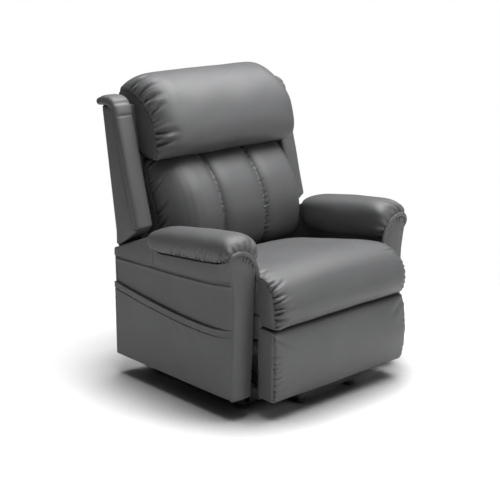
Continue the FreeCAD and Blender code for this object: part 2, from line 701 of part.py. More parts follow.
def stile_outline():
    top = rear_line(FRAME_TOP) - COVER
    return [(stile_front(0), 352.0), (LOWER_REAR - COVER, 352.0), (LOWER_REAR - COVER, BEND_Z),
            (top, FRAME_TOP), (top - STILE_DEPTH, FRAME_TOP), (stile_front(0), BEND_Z)]


def back_frame():
    """Timber stiles and rails behind the back cushion."""
    stile = plate_yz(stile_outline(), (HINGE_MOVING[1], 300.0))
    whole = plate_yz(stile_outline(), (-330.0, 330.0))
    rails = []
    for low, high, half in ((352.0, 392.0, HINGE_MOVING[0]), (620.0, 660.0, 330.0), (900.0, FRAME_TOP, 330.0)):
        rails.append(whole.common(box((-half, half), (0.0, 500.0), (low, high))))
    return stile.fuse([mirrored(stile)] + rails).removeSplitter()


def back_hinge_plates():
    """Steel hinge plates, with the cross bar and lever ears that the recline rod pulls."""
    plate = plate_yz([(270.0, 330.0), (300.0, 322.0), (306.0, 356.0), (300.0, 560.0), (268.0, 560.0),
                      (266.0, 350.0)], HINGE_MOVING)
    plate = plate.fuse(rod_x(HINGE_MOVING, RECLINE, 17.0))
    bar = box((-HINGE_MOVING[0], HINGE_MOVING[0]), (296.0, 313.0), (300.0, 312.0))
    foot = box(HINGE_MOVING, (296.0, 313.0), (300.0, 340.0))
    ear_x = (12.5, 18.5)
    ear = bar_yz((303.0, 302.0), RECLINE_LEVER, 10.0, ear_x)
    ear = drill(ear, ear_x, [(RECLINE_LEVER, PIN)])
    pieces = [mirrored(plate), foot, mirrored(foot), bar, ear, mirrored(ear)]
    whole = plate.fuse(pieces).removeSplitter()
    reach = HINGE_MOVING[1] + 1.0
    return whole.cut([rod_x((-reach, -HINGE_MOVING[0] + 1), RECLINE, BOLT + PLAY),
                      rod_x((HINGE_MOVING[0] - 1, reach), RECLINE, BOLT + PLAY)])


def recline_lever_pin():
    return rod_x((-22.0, 22.0), RECLINE_LEVER, PIN)


def back_rear_panel():
    """Covered rear panel: narrow between the arms, full width above them."""
    upper = plate_yz([(LOWER_REAR - COVER, 474.0), (LOWER_REAR, 474.0), (LOWER_REAR, BEND_Z),
                      (rear_line(FRAME_TOP), FRAME_TOP), (rear_line(FRAME_TOP) - COVER, FRAME_TOP),
                      (LOWER_REAR - COVER, BEND_Z)], (-399.0, 399.0))
    lower = box((-322.0, 322.0), (LOWER_REAR - COVER, LOWER_REAR), (292.0, 474.0))
    return upper.fuse(lower).removeSplitter()


STRIP = 28.0               # depth of the padded strip down the front of a wing
WING_IN = 330.0
WING_OUT = 400.0
WING_LOW = (537.0, 471.0)  # bottom of the wing at its front and rear
WING_TOP = 950.0


def wing_body():
    """Padded side wing behind its front strip."""
    low_front = front_line(WING_LOW[0]) + STRIP
    rear = LOWER_REAR - COVER
    slope = (WING_LOW[1] - WING_LOW[0]) / (rear - front_line(WING_LOW[0]))
    outline = [(low_front, WING_LOW[0] + slope * STRIP), (rear, WING_LOW[1]), (rear, BEND_Z),
               (rear_line(WING_TOP) - COVER, WING_TOP), (front_line(WING_TOP) + STRIP, WING_TOP)]
    return plate_yz(outline, (WING_IN, WING_OUT - 1.0))


def wing_strip():
    """Padded strip up the front of the wing, folded back over its top."""
    z = WING_LOW[0]
    y = front_line(z)
    round_off = 22.0
    strip = box((WING_IN, WING_OUT), (y, y + STRIP), (z, z + 1.0))
    face = [f for f in strip.Faces if f.BoundBox.ZMax < z + 0.5][0]
    rise = WING_TOP + 16.0 - z
    strip = face.extrude(V(0, 0.2659 * rise, rise))
    front = [e for e in strip.Edges
             if e.BoundBox.ZLength > 100.0 and abs(e.valueAt(e.FirstParameter).y
                                                   - front_line(e.valueAt(e.FirstParameter).z)) < 1.0]
    strip = strip.makeFillet(round_off, front)
    fold = front_line(WING_TOP) + STRIP
    cap = plate_yz([(fold, WING_TOP), (379.0, WING_TOP), (380.0, 945.0), (404.0, 949.0), (412.0, 961.0),
                    (405.0, 973.0), (382.0, 984.0), (352.0, 987.0), (328.0, 981.0), (fold, WING_TOP + 16.0)],
                   (WING_IN, WING_OUT))
    return strip.fuse(cap).removeSplitter()


# Side views of the three big cushions. Each has its fullest section, and the section at its ends.
SEAT_MID = [(-388, 312), (-407, 340), (-411, 380), (-390, 432), (-340, 474), (-250, 494), (-120, 500),
            (0, 490), (60, 472), (76, 430), (76, 380), (60, 330), (-100, 320), (-300, 311)]
SEAT_SIDE = [(-382, 314), (-384, 342), (-379, 380), (-361, 433), (-320, 461), (-250, 465), (-120, 467),
             (0, 461), (54, 450), (70, 420), (70, 380), (58, 332), (-100, 322), (-300, 313)]
BACK_MID = [(112, 424), (84, 462), (72, 520), (78, 590), (104, 665), (150, 725), (205, 768), (280, 771),
            (286, 700), (272, 600), (258, 500), (252, 424), (180, 412)]
BACK_SEAM = [(122, 426), (100, 462), (92, 520), (100, 590), (132, 665), (180, 722), (222, 762), (280, 768),
             (286, 700), (272, 600), (258, 500), (252, 426), (184, 416)]
BACK_SIDE = [(226, 432), (216, 464), (212, 520), (220, 590), (244, 660), (266, 712), (276, 748), (286, 756),
             (286, 700), (272, 600), (258, 500), (252, 432), (240, 428)]
HEAD_MID = [(300, 776), (205, 774), (155, 788), (136, 828), (144, 885), (166, 942), (206, 1002), (258, 1040),
            (320, 1056), (376, 1040), (404, 996), (392, 930)]
HEAD_END = [(300, 790), (240, 778), (214, 782), (208, 815), (214, 850), (226, 890), (250, 928), (285, 956),
            (334, 979), (376, 988), (396, 974), (384, 930)]


def cushion_sections(half, end, near, full):
    """Sections of a cushion that keeps its full section up to its rounded ends."""
    right = [(half - 120.0, full), (half - 78.0, full), (half - 42.0, full), (half - 12.0, near), (half, end)]
    left = [(-x, section) for x, section in reversed(right)]
    return left + [(-60.0, full), (60.0, full)] + right


def seat_cushion():
    """Seat cushion with a waterfall front that drops ahead of the seat box."""
    half = 306.0
    sections = cushion_sections(half, SEAT_SIDE, mix(SEAT_SIDE, SEAT_MID, 0.72), SEAT_MID)
    whole = loft_x(sections)
    under = box((-half - 20, half + 20), (-319.0, 100.0), (250.0, WEB_TOP))
    lip = box((-half - 20, half + 20), (-450.0, 100.0), (250.0, LEGREST_Z[1] + 7.0))
    return whole.cut([under, lip])


def back_cushion():
    """Back cushion, sewn into three upright channels, its outer ones rolled back to the sides."""
    half = 298.0
    seam = 98.0
    full = mix(BACK_SEAM, BACK_MID, 0.9)
    middle = loft_x([(-seam, BACK_SEAM), (-seam + 40.0, full), (seam - 40.0, full), (seam, BACK_SEAM)])
    outer = loft_x([(seam, BACK_SEAM), (seam + 40.0, full), (half - 56.0, full),
                    (half - 14.0, mix(BACK_SIDE, BACK_MID, 0.5)), (half, BACK_SIDE)])
    whole = middle.fuse([outer, mirrored(outer)])
    behind = plate_yz([(stile_front(0) - 1, 300.0), (500.0, 300.0), (500.0, 1000.0),
                       (stile_front(1000.0) - 1, 1000.0), (stile_front(0) - 1, BEND_Z)], (-340.0, 340.0))
    return whole.cut([behind, headrest()])


def headrest():
    """Bolster across the top of the back, with flat gusset ends."""
    half = 302.0
    sections = cushion_sections(half, HEAD_END, mix(HEAD_END, HEAD_MID, 0.78), HEAD_MID)
    whole = loft_x(sections)
    top = FRAME_TOP + 1.0
    behind = plate_yz([(stile_front(700.0) - 1, 700.0), (500.0, 700.0), (500.0, top),
                       (stile_front(top) - 1, top)], (-340.0, 340.0))
    return whole.cut(behind)


# ---------------------------------------------------------------- all nodes
CENTRE_NODES = {
    "base_frame": base_frame,
    "base_pivot_plates": base_pivot_plates,
    "base_actuator_clevis": base_actuator_clevis,
    "base_pivot_bolts": base_pivot_bolts,
    "glide_feet": glide_feet,
    "lift_arms": lift_arms,
    "lift_torque_tube": lift_torque_tube,
    "lift_lever_pin": lift_lever_pin,
    "lift_links": lift_links,
    "lift_motor": lift_motor,
    "lift_rod": lift_rod,
    "carriage_plates": carriage_plates,
    "carriage_pivot_bolts": carriage_pivot_bolts,
    "seat_frame": seat_frame,
    "legrest_rails": legrest_rails,
    "seat_box": seat_box,
    "seat_webbing": seat_webbing,
    "arm_spacers": arm_spacers,
    "legrest_gearmotor": legrest_gearmotor,
    "control_box": control_box,
    "rear_valance": rear_valance,
    "seat_cushion": seat_cushion,
    "legrest_drive_tube": legrest_drive_tube,
    "link_a": link_a,
    "link_b": link_b,
    "link_c": link_c,
    "link_d": link_d,
    "legrest_brackets": legrest_brackets,
    "legrest_studs": legrest_studs,
    "legrest_frame": legrest_frame,
    "legrest_pad": legrest_pad,
    "recline_motor": recline_motor,
    "recline_rod": recline_rod,
    "back_hinge_plates": back_hinge_plates,
    "recline_lever_pin": recline_lever_pin,
    "back_frame": back_frame,
    "back_rear_panel": back_rear_panel,
    "back_cushion": back_cushion,
    "headrest": headrest,
    "switch_panel": switch_panel,
}
# Made on the +X side, and mirrored for the other. The sitter's left is +X.
SIDE_NODES = {
    "arm_frame": arm_frame,
    "arm_outer_panel": arm_outer_panel,
    "arm_inner_panel": arm_inner_panel,
    "arm_front_panel": arm_front_panel,
    "arm_rear_cover": arm_rear_cover,
    "arm_pocket": arm_pocket,
    "arm_roll": arm_roll,
    "wing_body": wing_body,
    "wing_strip": wing_strip,
}


def main():
    os.makedirs(OUT, exist_ok=True)
    for name, make in CENTRE_NODES.items():
        save(name, make())
    for name, y in BUTTONS.items():
        save(name, button(y))
    for name, make in SIDE_NODES.items():
        left = make()
        save(name + "_left", left)
        save(name + "_right", mirrored(left))


main()
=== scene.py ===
"""A leather lift chair with a reclining back and a powered legrest, dressed over its frame of rigid solids."""
import json
import math

import bmesh
import bpy
import numpy as np
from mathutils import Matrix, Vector, noise
from mathutils.bvhtree import BVHTree


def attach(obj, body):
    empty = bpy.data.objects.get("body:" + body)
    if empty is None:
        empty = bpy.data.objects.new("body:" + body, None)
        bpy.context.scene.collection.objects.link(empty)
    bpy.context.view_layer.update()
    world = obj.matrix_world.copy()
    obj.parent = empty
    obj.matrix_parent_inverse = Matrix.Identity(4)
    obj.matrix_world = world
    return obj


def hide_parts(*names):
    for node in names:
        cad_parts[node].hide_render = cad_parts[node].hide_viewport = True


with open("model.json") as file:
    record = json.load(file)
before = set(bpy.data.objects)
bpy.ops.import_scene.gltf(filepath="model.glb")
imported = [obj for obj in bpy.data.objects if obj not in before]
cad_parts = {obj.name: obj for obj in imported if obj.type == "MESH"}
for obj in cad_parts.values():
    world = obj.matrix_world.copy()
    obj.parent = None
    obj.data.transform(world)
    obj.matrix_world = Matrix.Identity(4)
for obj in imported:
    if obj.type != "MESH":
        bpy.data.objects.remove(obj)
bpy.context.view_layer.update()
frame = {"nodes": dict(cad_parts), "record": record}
MM = 0.001
LEFT, RIGHT = 1, -1        # the sitter's left is +X
SIDES = ((LEFT, "left"), (RIGHT, "right"))


def placed(name, data):
    """A new object in the scene."""
    obj = bpy.data.objects.new(name, data)
    bpy.context.scene.collection.objects.link(obj)
    return obj


def face_along(obj, way):
    obj.rotation_mode = "QUATERNION"
    obj.rotation_quaternion = way.to_track_quat("-Z", "Y")


# ---------------------------------------------------------------- camera
def place_camera():
    turn, rise = math.radians(-42.5), math.radians(15.6)
    back = Vector((math.sin(turn) * math.cos(rise), -math.cos(turn) * math.cos(rise), math.sin(rise)))
    camera = placed("camera", bpy.data.cameras.new("camera"))
    camera.data.lens = 87.6
    camera.data.sensor_width = 36.0
    camera.data.clip_end = 60.0
    camera.location = Vector((-0.0252, 0.0364, 0.4371)) + back * 4.2786
    face_along(camera, -back)
    bpy.context.scene.camera = camera


place_camera()


# ---------------------------------------------------------------- shader maths
class Value:
    """A shader socket that takes part in Python arithmetic."""

    def __init__(self, shader, socket):
        self.shader, self.socket = shader, socket

    def _math(self, operation, *values):
        return self.shader.node("ShaderNodeMath", {"operation": operation}, dict(enumerate(values)))

    def sine(self):
        return self._math("SINE", self)

    def between(self, low, high):
        """0 below low, 1 above high, smooth in between."""
        return self.shader.node("ShaderNodeMapRange", {"interpolation_type": "SMOOTHSTEP"},
                                {0: self, 1: low, 2: high})


for sign, operation in (("add", "ADD"), ("sub", "SUBTRACT"), ("mul", "MULTIPLY"), ("pow", "POWER")):
    setattr(Value, f"__{sign}__", lambda self, other, does=operation: self._math(does, self, other))
    setattr(Value, f"__r{sign}__", lambda self, other, does=operation: self._math(does, other, self))


class Shader:
    """A material, or the world, that is built node by node."""

    def __init__(self, name, owner=None):
        self.material = owner or bpy.data.materials.new(name)
        self.material.use_nodes = True
        self.tree = self.material.node_tree
        self.tree.nodes.clear()

    def node(self, kind, settings=None, sockets=None, output=0):
        made = self.tree.nodes.new(kind)
        for key, value in (settings or {}).items():
            setattr(made, key, value)
        for key, value in (sockets or {}).items():
            if isinstance(value, Value):
                self.tree.links.new(value.socket, made.inputs[key])
            else:
                made.inputs[key].default_value = value
        return Value(self, made.outputs[output]) if len(made.outputs) else None

    def ramp(self, factor, stops):
        made = self.tree.nodes.new("ShaderNodeValToRGB")
        for i, (at, colour) in enumerate(stops):
            stop = made.color_ramp.elements[i] if i < 2 else made.color_ramp.elements.new(at)
            stop.position, stop.color = at, (*colour, 1.0)
        self.tree.links.new(factor.socket, made.inputs[0])
        return Value(self, made.outputs[0])

    def place(self, scale=(1, 1, 1), turn=(0, 0, 0)):
        """Object coordinates, stretched by scale."""
        coords = self.node("ShaderNodeTexCoord", output="Object")
        return self.node("ShaderNodeMapping", {}, {"Vector": coords, "Scale": scale, "Rotation": turn})

    def noise(self, where, scale, detail=3.0, rough=0.5, distort=0.0):
        return self.node("ShaderNodeTexNoise", {}, {"Vector": where, "Scale": scale, "Detail": detail,
                                                    "Roughness": rough, "Distortion": distort})

    def cells(self, where, scale):
        return self.node("ShaderNodeTexVoronoi", {}, {"Vector": where, "Scale": scale})

    def mixed(self, factor, first, second):
        return self.node("ShaderNodeMix", {"data_type": "RGBA"}, {0: factor, 6: first, 7: second}, output=2)

    def bump(self, height, distance, strength=1.0, normal=None):
        sockets = {"Height": height, "Distance": distance, "Strength": strength}
        if normal is not None:
            sockets["Normal"] = normal
        return self.node("ShaderNodeBump", {}, sockets)

    def finish(self, **sockets):
        names = {key.replace("_", " "): value for key, value in sockets.items()}
        surface = self.node("ShaderNodeBsdfPrincipled", {}, names)
        self.node("ShaderNodeOutputMaterial", {}, {"Surface": surface})
        return self.material


def grey(value, warm=0.0):
    return (value * (1 + warm), value, value * (1 - warm), 1.0)


def leather(name, shade):
    """Smooth upholstery leather: a fine pebbled grain, faint creases and a low sheen."""
    s = Shader(name)
    where = s.place()
    pebbles = s.cells(where, 620.0)
    pores = s.noise(where, 1500.0, 2.0)
    creases = s.noise(where, 70.0, 5.0, 0.62, 0.6)
    cloud = s.noise(where, 5.0, 2.0)
    tone = s.mixed(cloud.between(0.3, 0.7), (*[c * 0.93 for c in shade], 1), (*[c * 1.06 for c in shade], 1))
    colour = s.mixed(pebbles.between(0.25, 0.62) * 0.30, tone, (*[c * 0.62 for c in shade], 1))
    normal = s.bump(creases, 0.0009, 0.32)
    normal = s.bump(0.8 - pebbles * 0.9 + pores * 0.3, 0.00022, 0.55, normal)
    return s.finish(Base_Color=colour, Roughness=0.40 + creases * 0.14 + pebbles * 0.06, Normal=normal,
                    Specular_IOR_Level=0.42)


def painted_steel(name, shade):
    s = Shader(name)
    where = s.place()
    orange_peel = s.noise(where, 900.0, 2.0)
    dust = s.noise(where, 26.0, 5.0, 0.65)
    colour = s.mixed(dust.between(0.45, 0.8) * 0.35, grey(shade), grey(shade * 2.1, 0.03))
    return s.finish(Base_Color=colour, Roughness=0.38 + dust * 0.22, Normal=s.bump(orange_peel, 0.0002, 0.4))


def plastic(name, shade, roughness):
    s = Shader(name)
    where = s.place()
    texture = s.cells(where, 1100.0)
    rub = s.noise(where, 30.0, 4.0, 0.6)
    return s.finish(Base_Color=s.mixed(rub.between(0.4, 0.8) * 0.4, grey(shade), grey(shade * 1.7)),
                    Roughness=roughness + rub * 0.15, Normal=s.bump(texture, 0.00015, 0.5))


def timber(name):
    """Plywood and rails, near-black with the long grain showing through: painted shade, so the frame reads as dark as
    the shadow in the gaps between the covers.
    """
    s = Shader(name)
    where = s.place((3.0, 9.0, 9.0))
    grain = s.noise(where, 16.0, 6.0, 0.6, 1.4)
    fibre = s.noise(s.place((6.0, 60.0, 60.0)), 22.0, 3.0)
    # Near-black ramp: painted shade, so timber seen through the gaps reads as shadow.
    colour = s.ramp(grain * 0.8 + fibre * 0.2, [(0.3, (0.013, 0.012, 0.011)), (0.7, (0.026, 0.024, 0.022)),
                                                (0.5, (0.019, 0.018, 0.017))])
    return s.finish(Base_Color=colour, Roughness=0.62 + fibre * 0.2, Normal=s.bump(fibre, 0.0004, 0.5))


def webbing(name):
    """Woven elastic straps: warp and weft ribs."""
    s = Shader(name)
    axes = s.node("ShaderNodeSeparateXYZ", {}, {"Vector": s.place()}, output=0)
    x = axes
    y = Value(s, axes.socket.node.outputs[1])
    weave = (x * 1800.0).sine() * (y * 1800.0).sine()
    stripe = (y * 260.0).sine().between(0.55, 0.7)
    colour = s.mixed(stripe, (0.035, 0.035, 0.038, 1), (0.16, 0.16, 0.17, 1))
    return s.finish(Base_Color=colour, Roughness=0.82 + weave * 0.06, Normal=s.bump(weave, 0.0005, 0.6))


LEATHER = leather("grey_leather", (0.086, 0.087, 0.089))
THREAD = leather("stitching_thread", (0.075, 0.076, 0.078))
FINISHES = {
    "frame_steel": painted_steel("black_powder_coat", 0.022),
    # Pivots near-black: painted shade, so a pivot showing in a gap reads as shadow.
    "pivot_steel": painted_steel("dark_pivot_steel_painted_shade", 0.04),
    "actuator_case": plastic("actuator_housing", 0.035, 0.42),
    "case_plastic": plastic("case_plastic", 0.03, 0.38),
    "button_plastic": plastic("button_plastic", 0.16, 0.34),
    "timber": timber("frame_timber"),
    "webbing": webbing("elastic_webbing"),
    "upholstery": LEATHER,
    "glide": plastic("glide_rubber", 0.02, 0.6),
}


def finish_frame_nodes():
    """Each carried-over solid takes the finish of its own slot."""
    slots = {}
    for part in frame["record"]["subparts"]:
        slots[part["node"]] = part["material_slot"]
    for name, obj in frame["nodes"].items():
        obj.data.materials.clear()
        obj.data.materials.append(FINISHES[slots[name]])


# ---------------------------------------------------------------- curves and meshes, in millimetres
def ease(t):
    t = np.clip(t, 0.0, 1.0)
    return t * t * (3.0 - 2.0 * t)


def dome(t):
    """Quarter round: 0 at 0, upright there, and level at 1."""
    t = np.clip(t, 0.0, 1.0)
    return np.sqrt(1.0 - (1.0 - t) ** 2)


def bell(t):
    return np.exp(-t * t)


def through(points, count, closed=False):
    """Evenly spaced points on the smooth curve through the given ones."""
    p = np.array(points, float)
    p = np.vstack([p[-1], p, p[:2]]) if closed else np.vstack([2 * p[0] - p[1], p, 2 * p[-1] - p[-2]])
    step = np.maximum(np.linalg.norm(np.diff(p, axis=0), axis=1) ** 0.5, 1e-6)
    fine = []
    for i in range(1, len(p) - 2):
        before, here, after = step[i - 1], step[i], step[i + 1]
        rise = (p[i + 1] - p[i]) / here
        start = (rise * before + (p[i] - p[i - 1]) / before * here) / (before + here) * here
        end = ((p[i + 2] - p[i + 1]) / after * here + rise * after) / (here + after) * here
        t = np.linspace(0, 1, 24, endpoint=False)[:, None]
        fine.append(p[i] * (2 * t ** 3 - 3 * t ** 2 + 1) + start * (t ** 3 - 2 * t ** 2 + t)
                    + p[i + 1] * (3 * t ** 2 - 2 * t ** 3) + end * (t ** 3 - t ** 2))
    fine = np.vstack(fine + [p[-2][None]])
    return spaced(fine, count, closed)


def reached(line):
    """Length along a line at each of its points."""
    return np.concatenate([[0], np.cumsum(np.linalg.norm(np.diff(line, axis=0), axis=1))])


def heading(line):
    """Unit direction of a line at each of its points."""
    way = np.gradient(line, axis=0)
    return way / np.linalg.norm(way, axis=1, keepdims=True)


def spaced(line, count, closed=False):
    """The same line with count evenly spaced points."""
    line = np.asarray(line, float)
    length = reached(line)
    want = np.linspace(0, length[-1], count + 1 if closed else count)[:count]
    return np.stack([np.interp(want, length, line[:, k]) for k in range(line.shape[1])], axis=1)


def piece(name, skin, body, node=None, side=LEFT):
    """A closed leather skin in place of a node, with its faces turned outwards; RIGHT mirrors it."""
    points, faces = skin
    mesh = bpy.data.meshes.new(name)
    mesh.from_pydata([tuple(p) for p in np.asarray(points, float) * (side, 1, 1) * MM], [], faces)
    work = bmesh.new()
    work.from_mesh(mesh)
    bmesh.ops.remove_doubles(work, verts=work.verts, dist=1e-5)
    bmesh.ops.dissolve_degenerate(work, edges=work.edges, dist=1e-6)
    bmesh.ops.recalc_face_normals(work, faces=work.faces)
    for face in work.faces:
        face.smooth = True
    work.to_mesh(mesh)
    work.free()
    mesh.materials.append(LEATHER)
    obj = placed(name, mesh)
    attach(obj, body)
    if node:
        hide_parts(node)
    return obj


def pair(name, skin, body, node=None):
    """A piece on the sitter's left and its mirror image on the right."""
    return [piece(f"{name}_{end}", skin, body, node and f"{node}_{end}", side) for side, end in SIDES]


def rings_mesh(rings):
    """Points and faces of a closed skin through rings, its two ends filled."""
    rings = np.asarray(rings)
    n, m = rings.shape[:2]
    faces = [(i * m + j, i * m + (j + 1) % m, (i + 1) * m + (j + 1) % m, (i + 1) * m + j)
             for i in range(n - 1) for j in range(m)]
    faces += [tuple(range(m)), tuple((n - 1) * m + j for j in range(m))]
    return rings.reshape(-1, 3), faces


def slab_mesh(front, back):
    """Points and faces of a closed slab between two grids, each an array or its x, y and z."""
    front, back = [g if isinstance(g, np.ndarray) else np.stack(np.broadcast_arrays(*g), axis=2)
                   for g in (front, back)]
    n, m = front.shape[:2]
    own = n * m

    def quad(i, j, k, l, side):
        return (side + i * m + j, side + k * m + j, side + k * m + l, side + i * m + l)

    faces = []
    for i in range(n - 1):
        for j in range(m - 1):
            faces.append(quad(i, j, i + 1, j + 1, 0))
            faces.append(quad(i, j, i + 1, j + 1, own))
    for i in range(n - 1):
        for j in (0, m - 1):
            a, b = i * m + j, (i + 1) * m + j
            faces.append((a, b, own + b, own + a))
    for j in range(m - 1):
        for i in (0, n - 1):
            a, b = i * m + j, i * m + j + 1
            faces.append((a, b, own + b, own + a))
    return np.concatenate([front.reshape(-1, 3), back.reshape(-1, 3)]), faces


def read(mesh, what):
    out = np.empty(len(mesh.vertices) * 3)
    mesh.vertices.foreach_get(what, out)
    return out.reshape(-1, 3)


def move_to(obj, points):
    obj.data.vertices.foreach_set("co", (np.asarray(points) * MM).ravel())
    obj.data.update()


def apply_modifiers(obj):
    """The evaluated shape becomes the mesh, and the modifiers go."""
    graph = bpy.context.evaluated_depsgraph_get()
    graph.update()
    made = bpy.data.meshes.new_from_object(obj.evaluated_get(graph), depsgraph=graph)
    old = obj.data
    materials = list(old.materials)
    obj.modifiers.clear()
    obj.data = made
    made.materials.clear()
    for material in materials:
        made.materials.append(material)
    bpy.data.meshes.remove(old)
    made.polygons.foreach_set("use_smooth", [True] * len(made.polygons))
    made.update()


def remeshed(obj, voxel, times):
    """Even quads of one size all over, then smoothed a few times."""
    change = obj.modifiers.new("remesh", "REMESH")
    change.mode = "VOXEL"
    change.voxel_size = voxel * MM
    change.use_smooth_shade = True
    apply_modifiers(obj)
    change = obj.modifiers.new("relax", "SMOOTH")
    change.iterations, change.factor = times, 0.5
    apply_modifiers(obj)


def refined(obj):
    """The mesh made finer; its points and normals."""
    change = obj.modifiers.new("finer", "SUBSURF")
    change.levels = change.render_levels = 1
    apply_modifiers(obj)
    return read(obj.data, "co") / MM, read(obj.data, "normal")


def stuffed(obj, held, pressure, cap, frames):
    """Cloth under pressure fills the skin out. held(points) is true where a seam or a board holds it."""
    start = read(obj.data, "co") / MM
    group = obj.vertex_groups.new(name="held")
    group.add(np.nonzero(held(start))[0].tolist(), 1.0, "REPLACE")
    cloth = obj.modifiers.new("stuffing", "CLOTH")
    set_to = cloth.settings
    set_to.quality = 3
    set_to.mass = 0.4
    set_to.tension_stiffness = set_to.compression_stiffness = 22.0
    set_to.shear_stiffness = 12.0
    set_to.bending_stiffness = 2.0
    set_to.use_pressure = True
    set_to.uniform_pressure_force = pressure
    set_to.vertex_group_mass = "held"
    set_to.effector_weights.gravity = 0.0
    cloth.collision_settings.use_collision = False
    cloth.point_cache.frame_start, cloth.point_cache.frame_end = 1, frames
    for number in range(1, frames + 1):
        bpy.context.scene.frame_set(number)
    graph = bpy.context.evaluated_depsgraph_get()
    shift = read(obj.evaluated_get(graph).to_mesh(), "co") / MM - start
    obj.evaluated_get(graph).to_mesh_clear()
    obj.modifiers.clear()
    obj.vertex_groups.clear()
    bpy.context.scene.frame_set(1)
    size = np.maximum(np.linalg.norm(shift, axis=1, keepdims=True), 1e-6)
    move_to(obj, start + shift * np.minimum(1.0, cap / size))


def filled(name, skin, body, node, voxel, times, held, *stuffing, side=LEFT):
    """A piece with an even mesh, stuffed and made finer; the piece, its points and its normals."""
    obj = piece(name, skin, body, node, side)
    remeshed(obj, voxel, times)
    stuffed(obj, held, *stuffing)
    return obj, *refined(obj)


def nearest_on(line, points):
    """For each of the points, which point of the line is nearest."""
    return np.concatenate([np.argmin(((points[i:i + 20000, None] - line) ** 2).sum(axis=2), axis=1)
                           for i in range(0, len(points), 20000)])


class Seam:
    """A sewn line, and where points lie along it and away from it."""

    def __init__(self, points, step=3.0):
        rough = through(points, 400)
        length = np.linalg.norm(np.diff(rough, axis=0), axis=1).sum()
        self.line = spaced(rough, max(8, int(length / step)))
        self.way = heading(self.line)
        self.length = length
        self.at = np.linspace(0, length, len(self.line))

    def near(self, points):
        """(distance along the seam, distance from it, step from the seam to the point)."""
        nearest = nearest_on(self.line, points)
        step = points - self.line[nearest]
        slide = (step * self.way[nearest]).sum(axis=1)
        flat = step - slide[:, None] * self.way[nearest]
        return self.at[nearest] + slide, np.linalg.norm(flat, axis=1), flat


def from_seams(seams, points):
    """Distance of the points from the nearest of the seams."""
    return np.min([seam.near(points)[1] for seam in seams], axis=0)


def fold(along, away, at, length, width, depth, slant=0.0, start=0.0):
    """A sharp-bottomed fold from a seam that fades out over its length, between two soft ridges."""
    reach = ease(1.0 - away / length) * ease((away - start) / 6.0 + 0.6)
    wide = width * (0.55 + 0.9 * np.clip(away / length, 0, 1))
    across = along - at - slant * away
    valley = np.exp(-np.abs(across / wide) ** 1.5)
    ridge = bell((across - 2.1 * wide) / (1.2 * wide)) + bell((across + 2.1 * wide) / (1.2 * wide))
    return depth * reach * (0.42 * ridge - valley)


def gathers(along, away, first, last, spacing, length, width, depth, slant, seed, start=1.0):
    """Uneven folds all along a seam."""
    luck = np.random.default_rng(seed)
    total = np.zeros(len(along))
    at = first
    while at < last:
        size = luck.uniform(0.55, 1.25)
        total += fold(along, away, at, length * size, width * luck.uniform(0.8, 1.3), depth * size,
                      slant + luck.uniform(-0.25, 0.25), start)
        at += spacing * luck.uniform(0.7, 1.3)
    return total


def softness(points, scale, depth, seed=0.0):
    """Slow random swell, as of fibre under leather."""
    shift = Vector((seed * 7.3, seed * 3.1, seed * 5.7))
    return np.array([noise.noise(Vector(p) / scale + shift) for p in points]) * depth


def mix(a, b, t):
    return np.asarray(a, float) * (1 - t) + np.asarray(b, float) * t


def squared(turning, power):
    """A sine or cosine made fuller, or squarer, by a power below 1."""
    return np.sign(turning) * np.abs(turning) ** power


def at_x(profile, x):
    """A (y, z) profile as points at x."""
    return np.column_stack([np.full(len(profile), x), profile])


# ---------------------------------------------------------------- the back's lines, as in the frame
def rear_line(z):
    return 310.0 + 0.1398 * (z - 462.0)


def front_line(z):
    return 190.0 + 0.2659 * (z - 540.0)


def board_line(z):
    """Y of the back frame's front face, which the cushions rest on."""
    return rear_line(np.maximum(z, REAR_BEND)) - FRAME_DEEP


FRAME_TOP = 945.0
FRAME_DEEP = 56.0
REAR_BEND = 533.6             # the rear stands upright below this height, and leans back above it


# ---------------------------------------------------------------- headrest
HEAD_MID = [(300, 776), (205, 774), (155, 788), (136, 828), (144, 885), (166, 942), (206, 1002), (258, 1038),
            (320, 1052), (376, 1038), (404, 996), (392, 930)]
HEAD_SEAM = [(300, 786), (244, 772), (213, 768), (206, 790), (208, 821), (218, 868), (236, 909), (273, 948),
             (334, 979), (382, 992), (408, 982), (404, 955), (390, 930)]
HEAD_ENDS = {RIGHT: 303.0, LEFT: 315.0}


def stations(left, right, radius_left, radius_right):
    """Section places from one end of a cushion to the other, crowded where its ends round over."""
    near = np.array([0, 1, 2.5, 5, 8.5, 13, 19, 27, 38, 56, 80]) / 38.0
    first, last = -left + near * radius_left, right - near[::-1] * radius_right
    return np.concatenate([first, np.linspace(first[-1], last[0], 16)[1:-1], last])


def rounded_over(x, left, right, radius_left, radius_right, most=1.0):
    """0 at a cushion's ends and most past their rounding."""
    return np.atleast_1d(most * dome((x + left) / radius_left) * dome((right - x) / radius_right))[:, None]


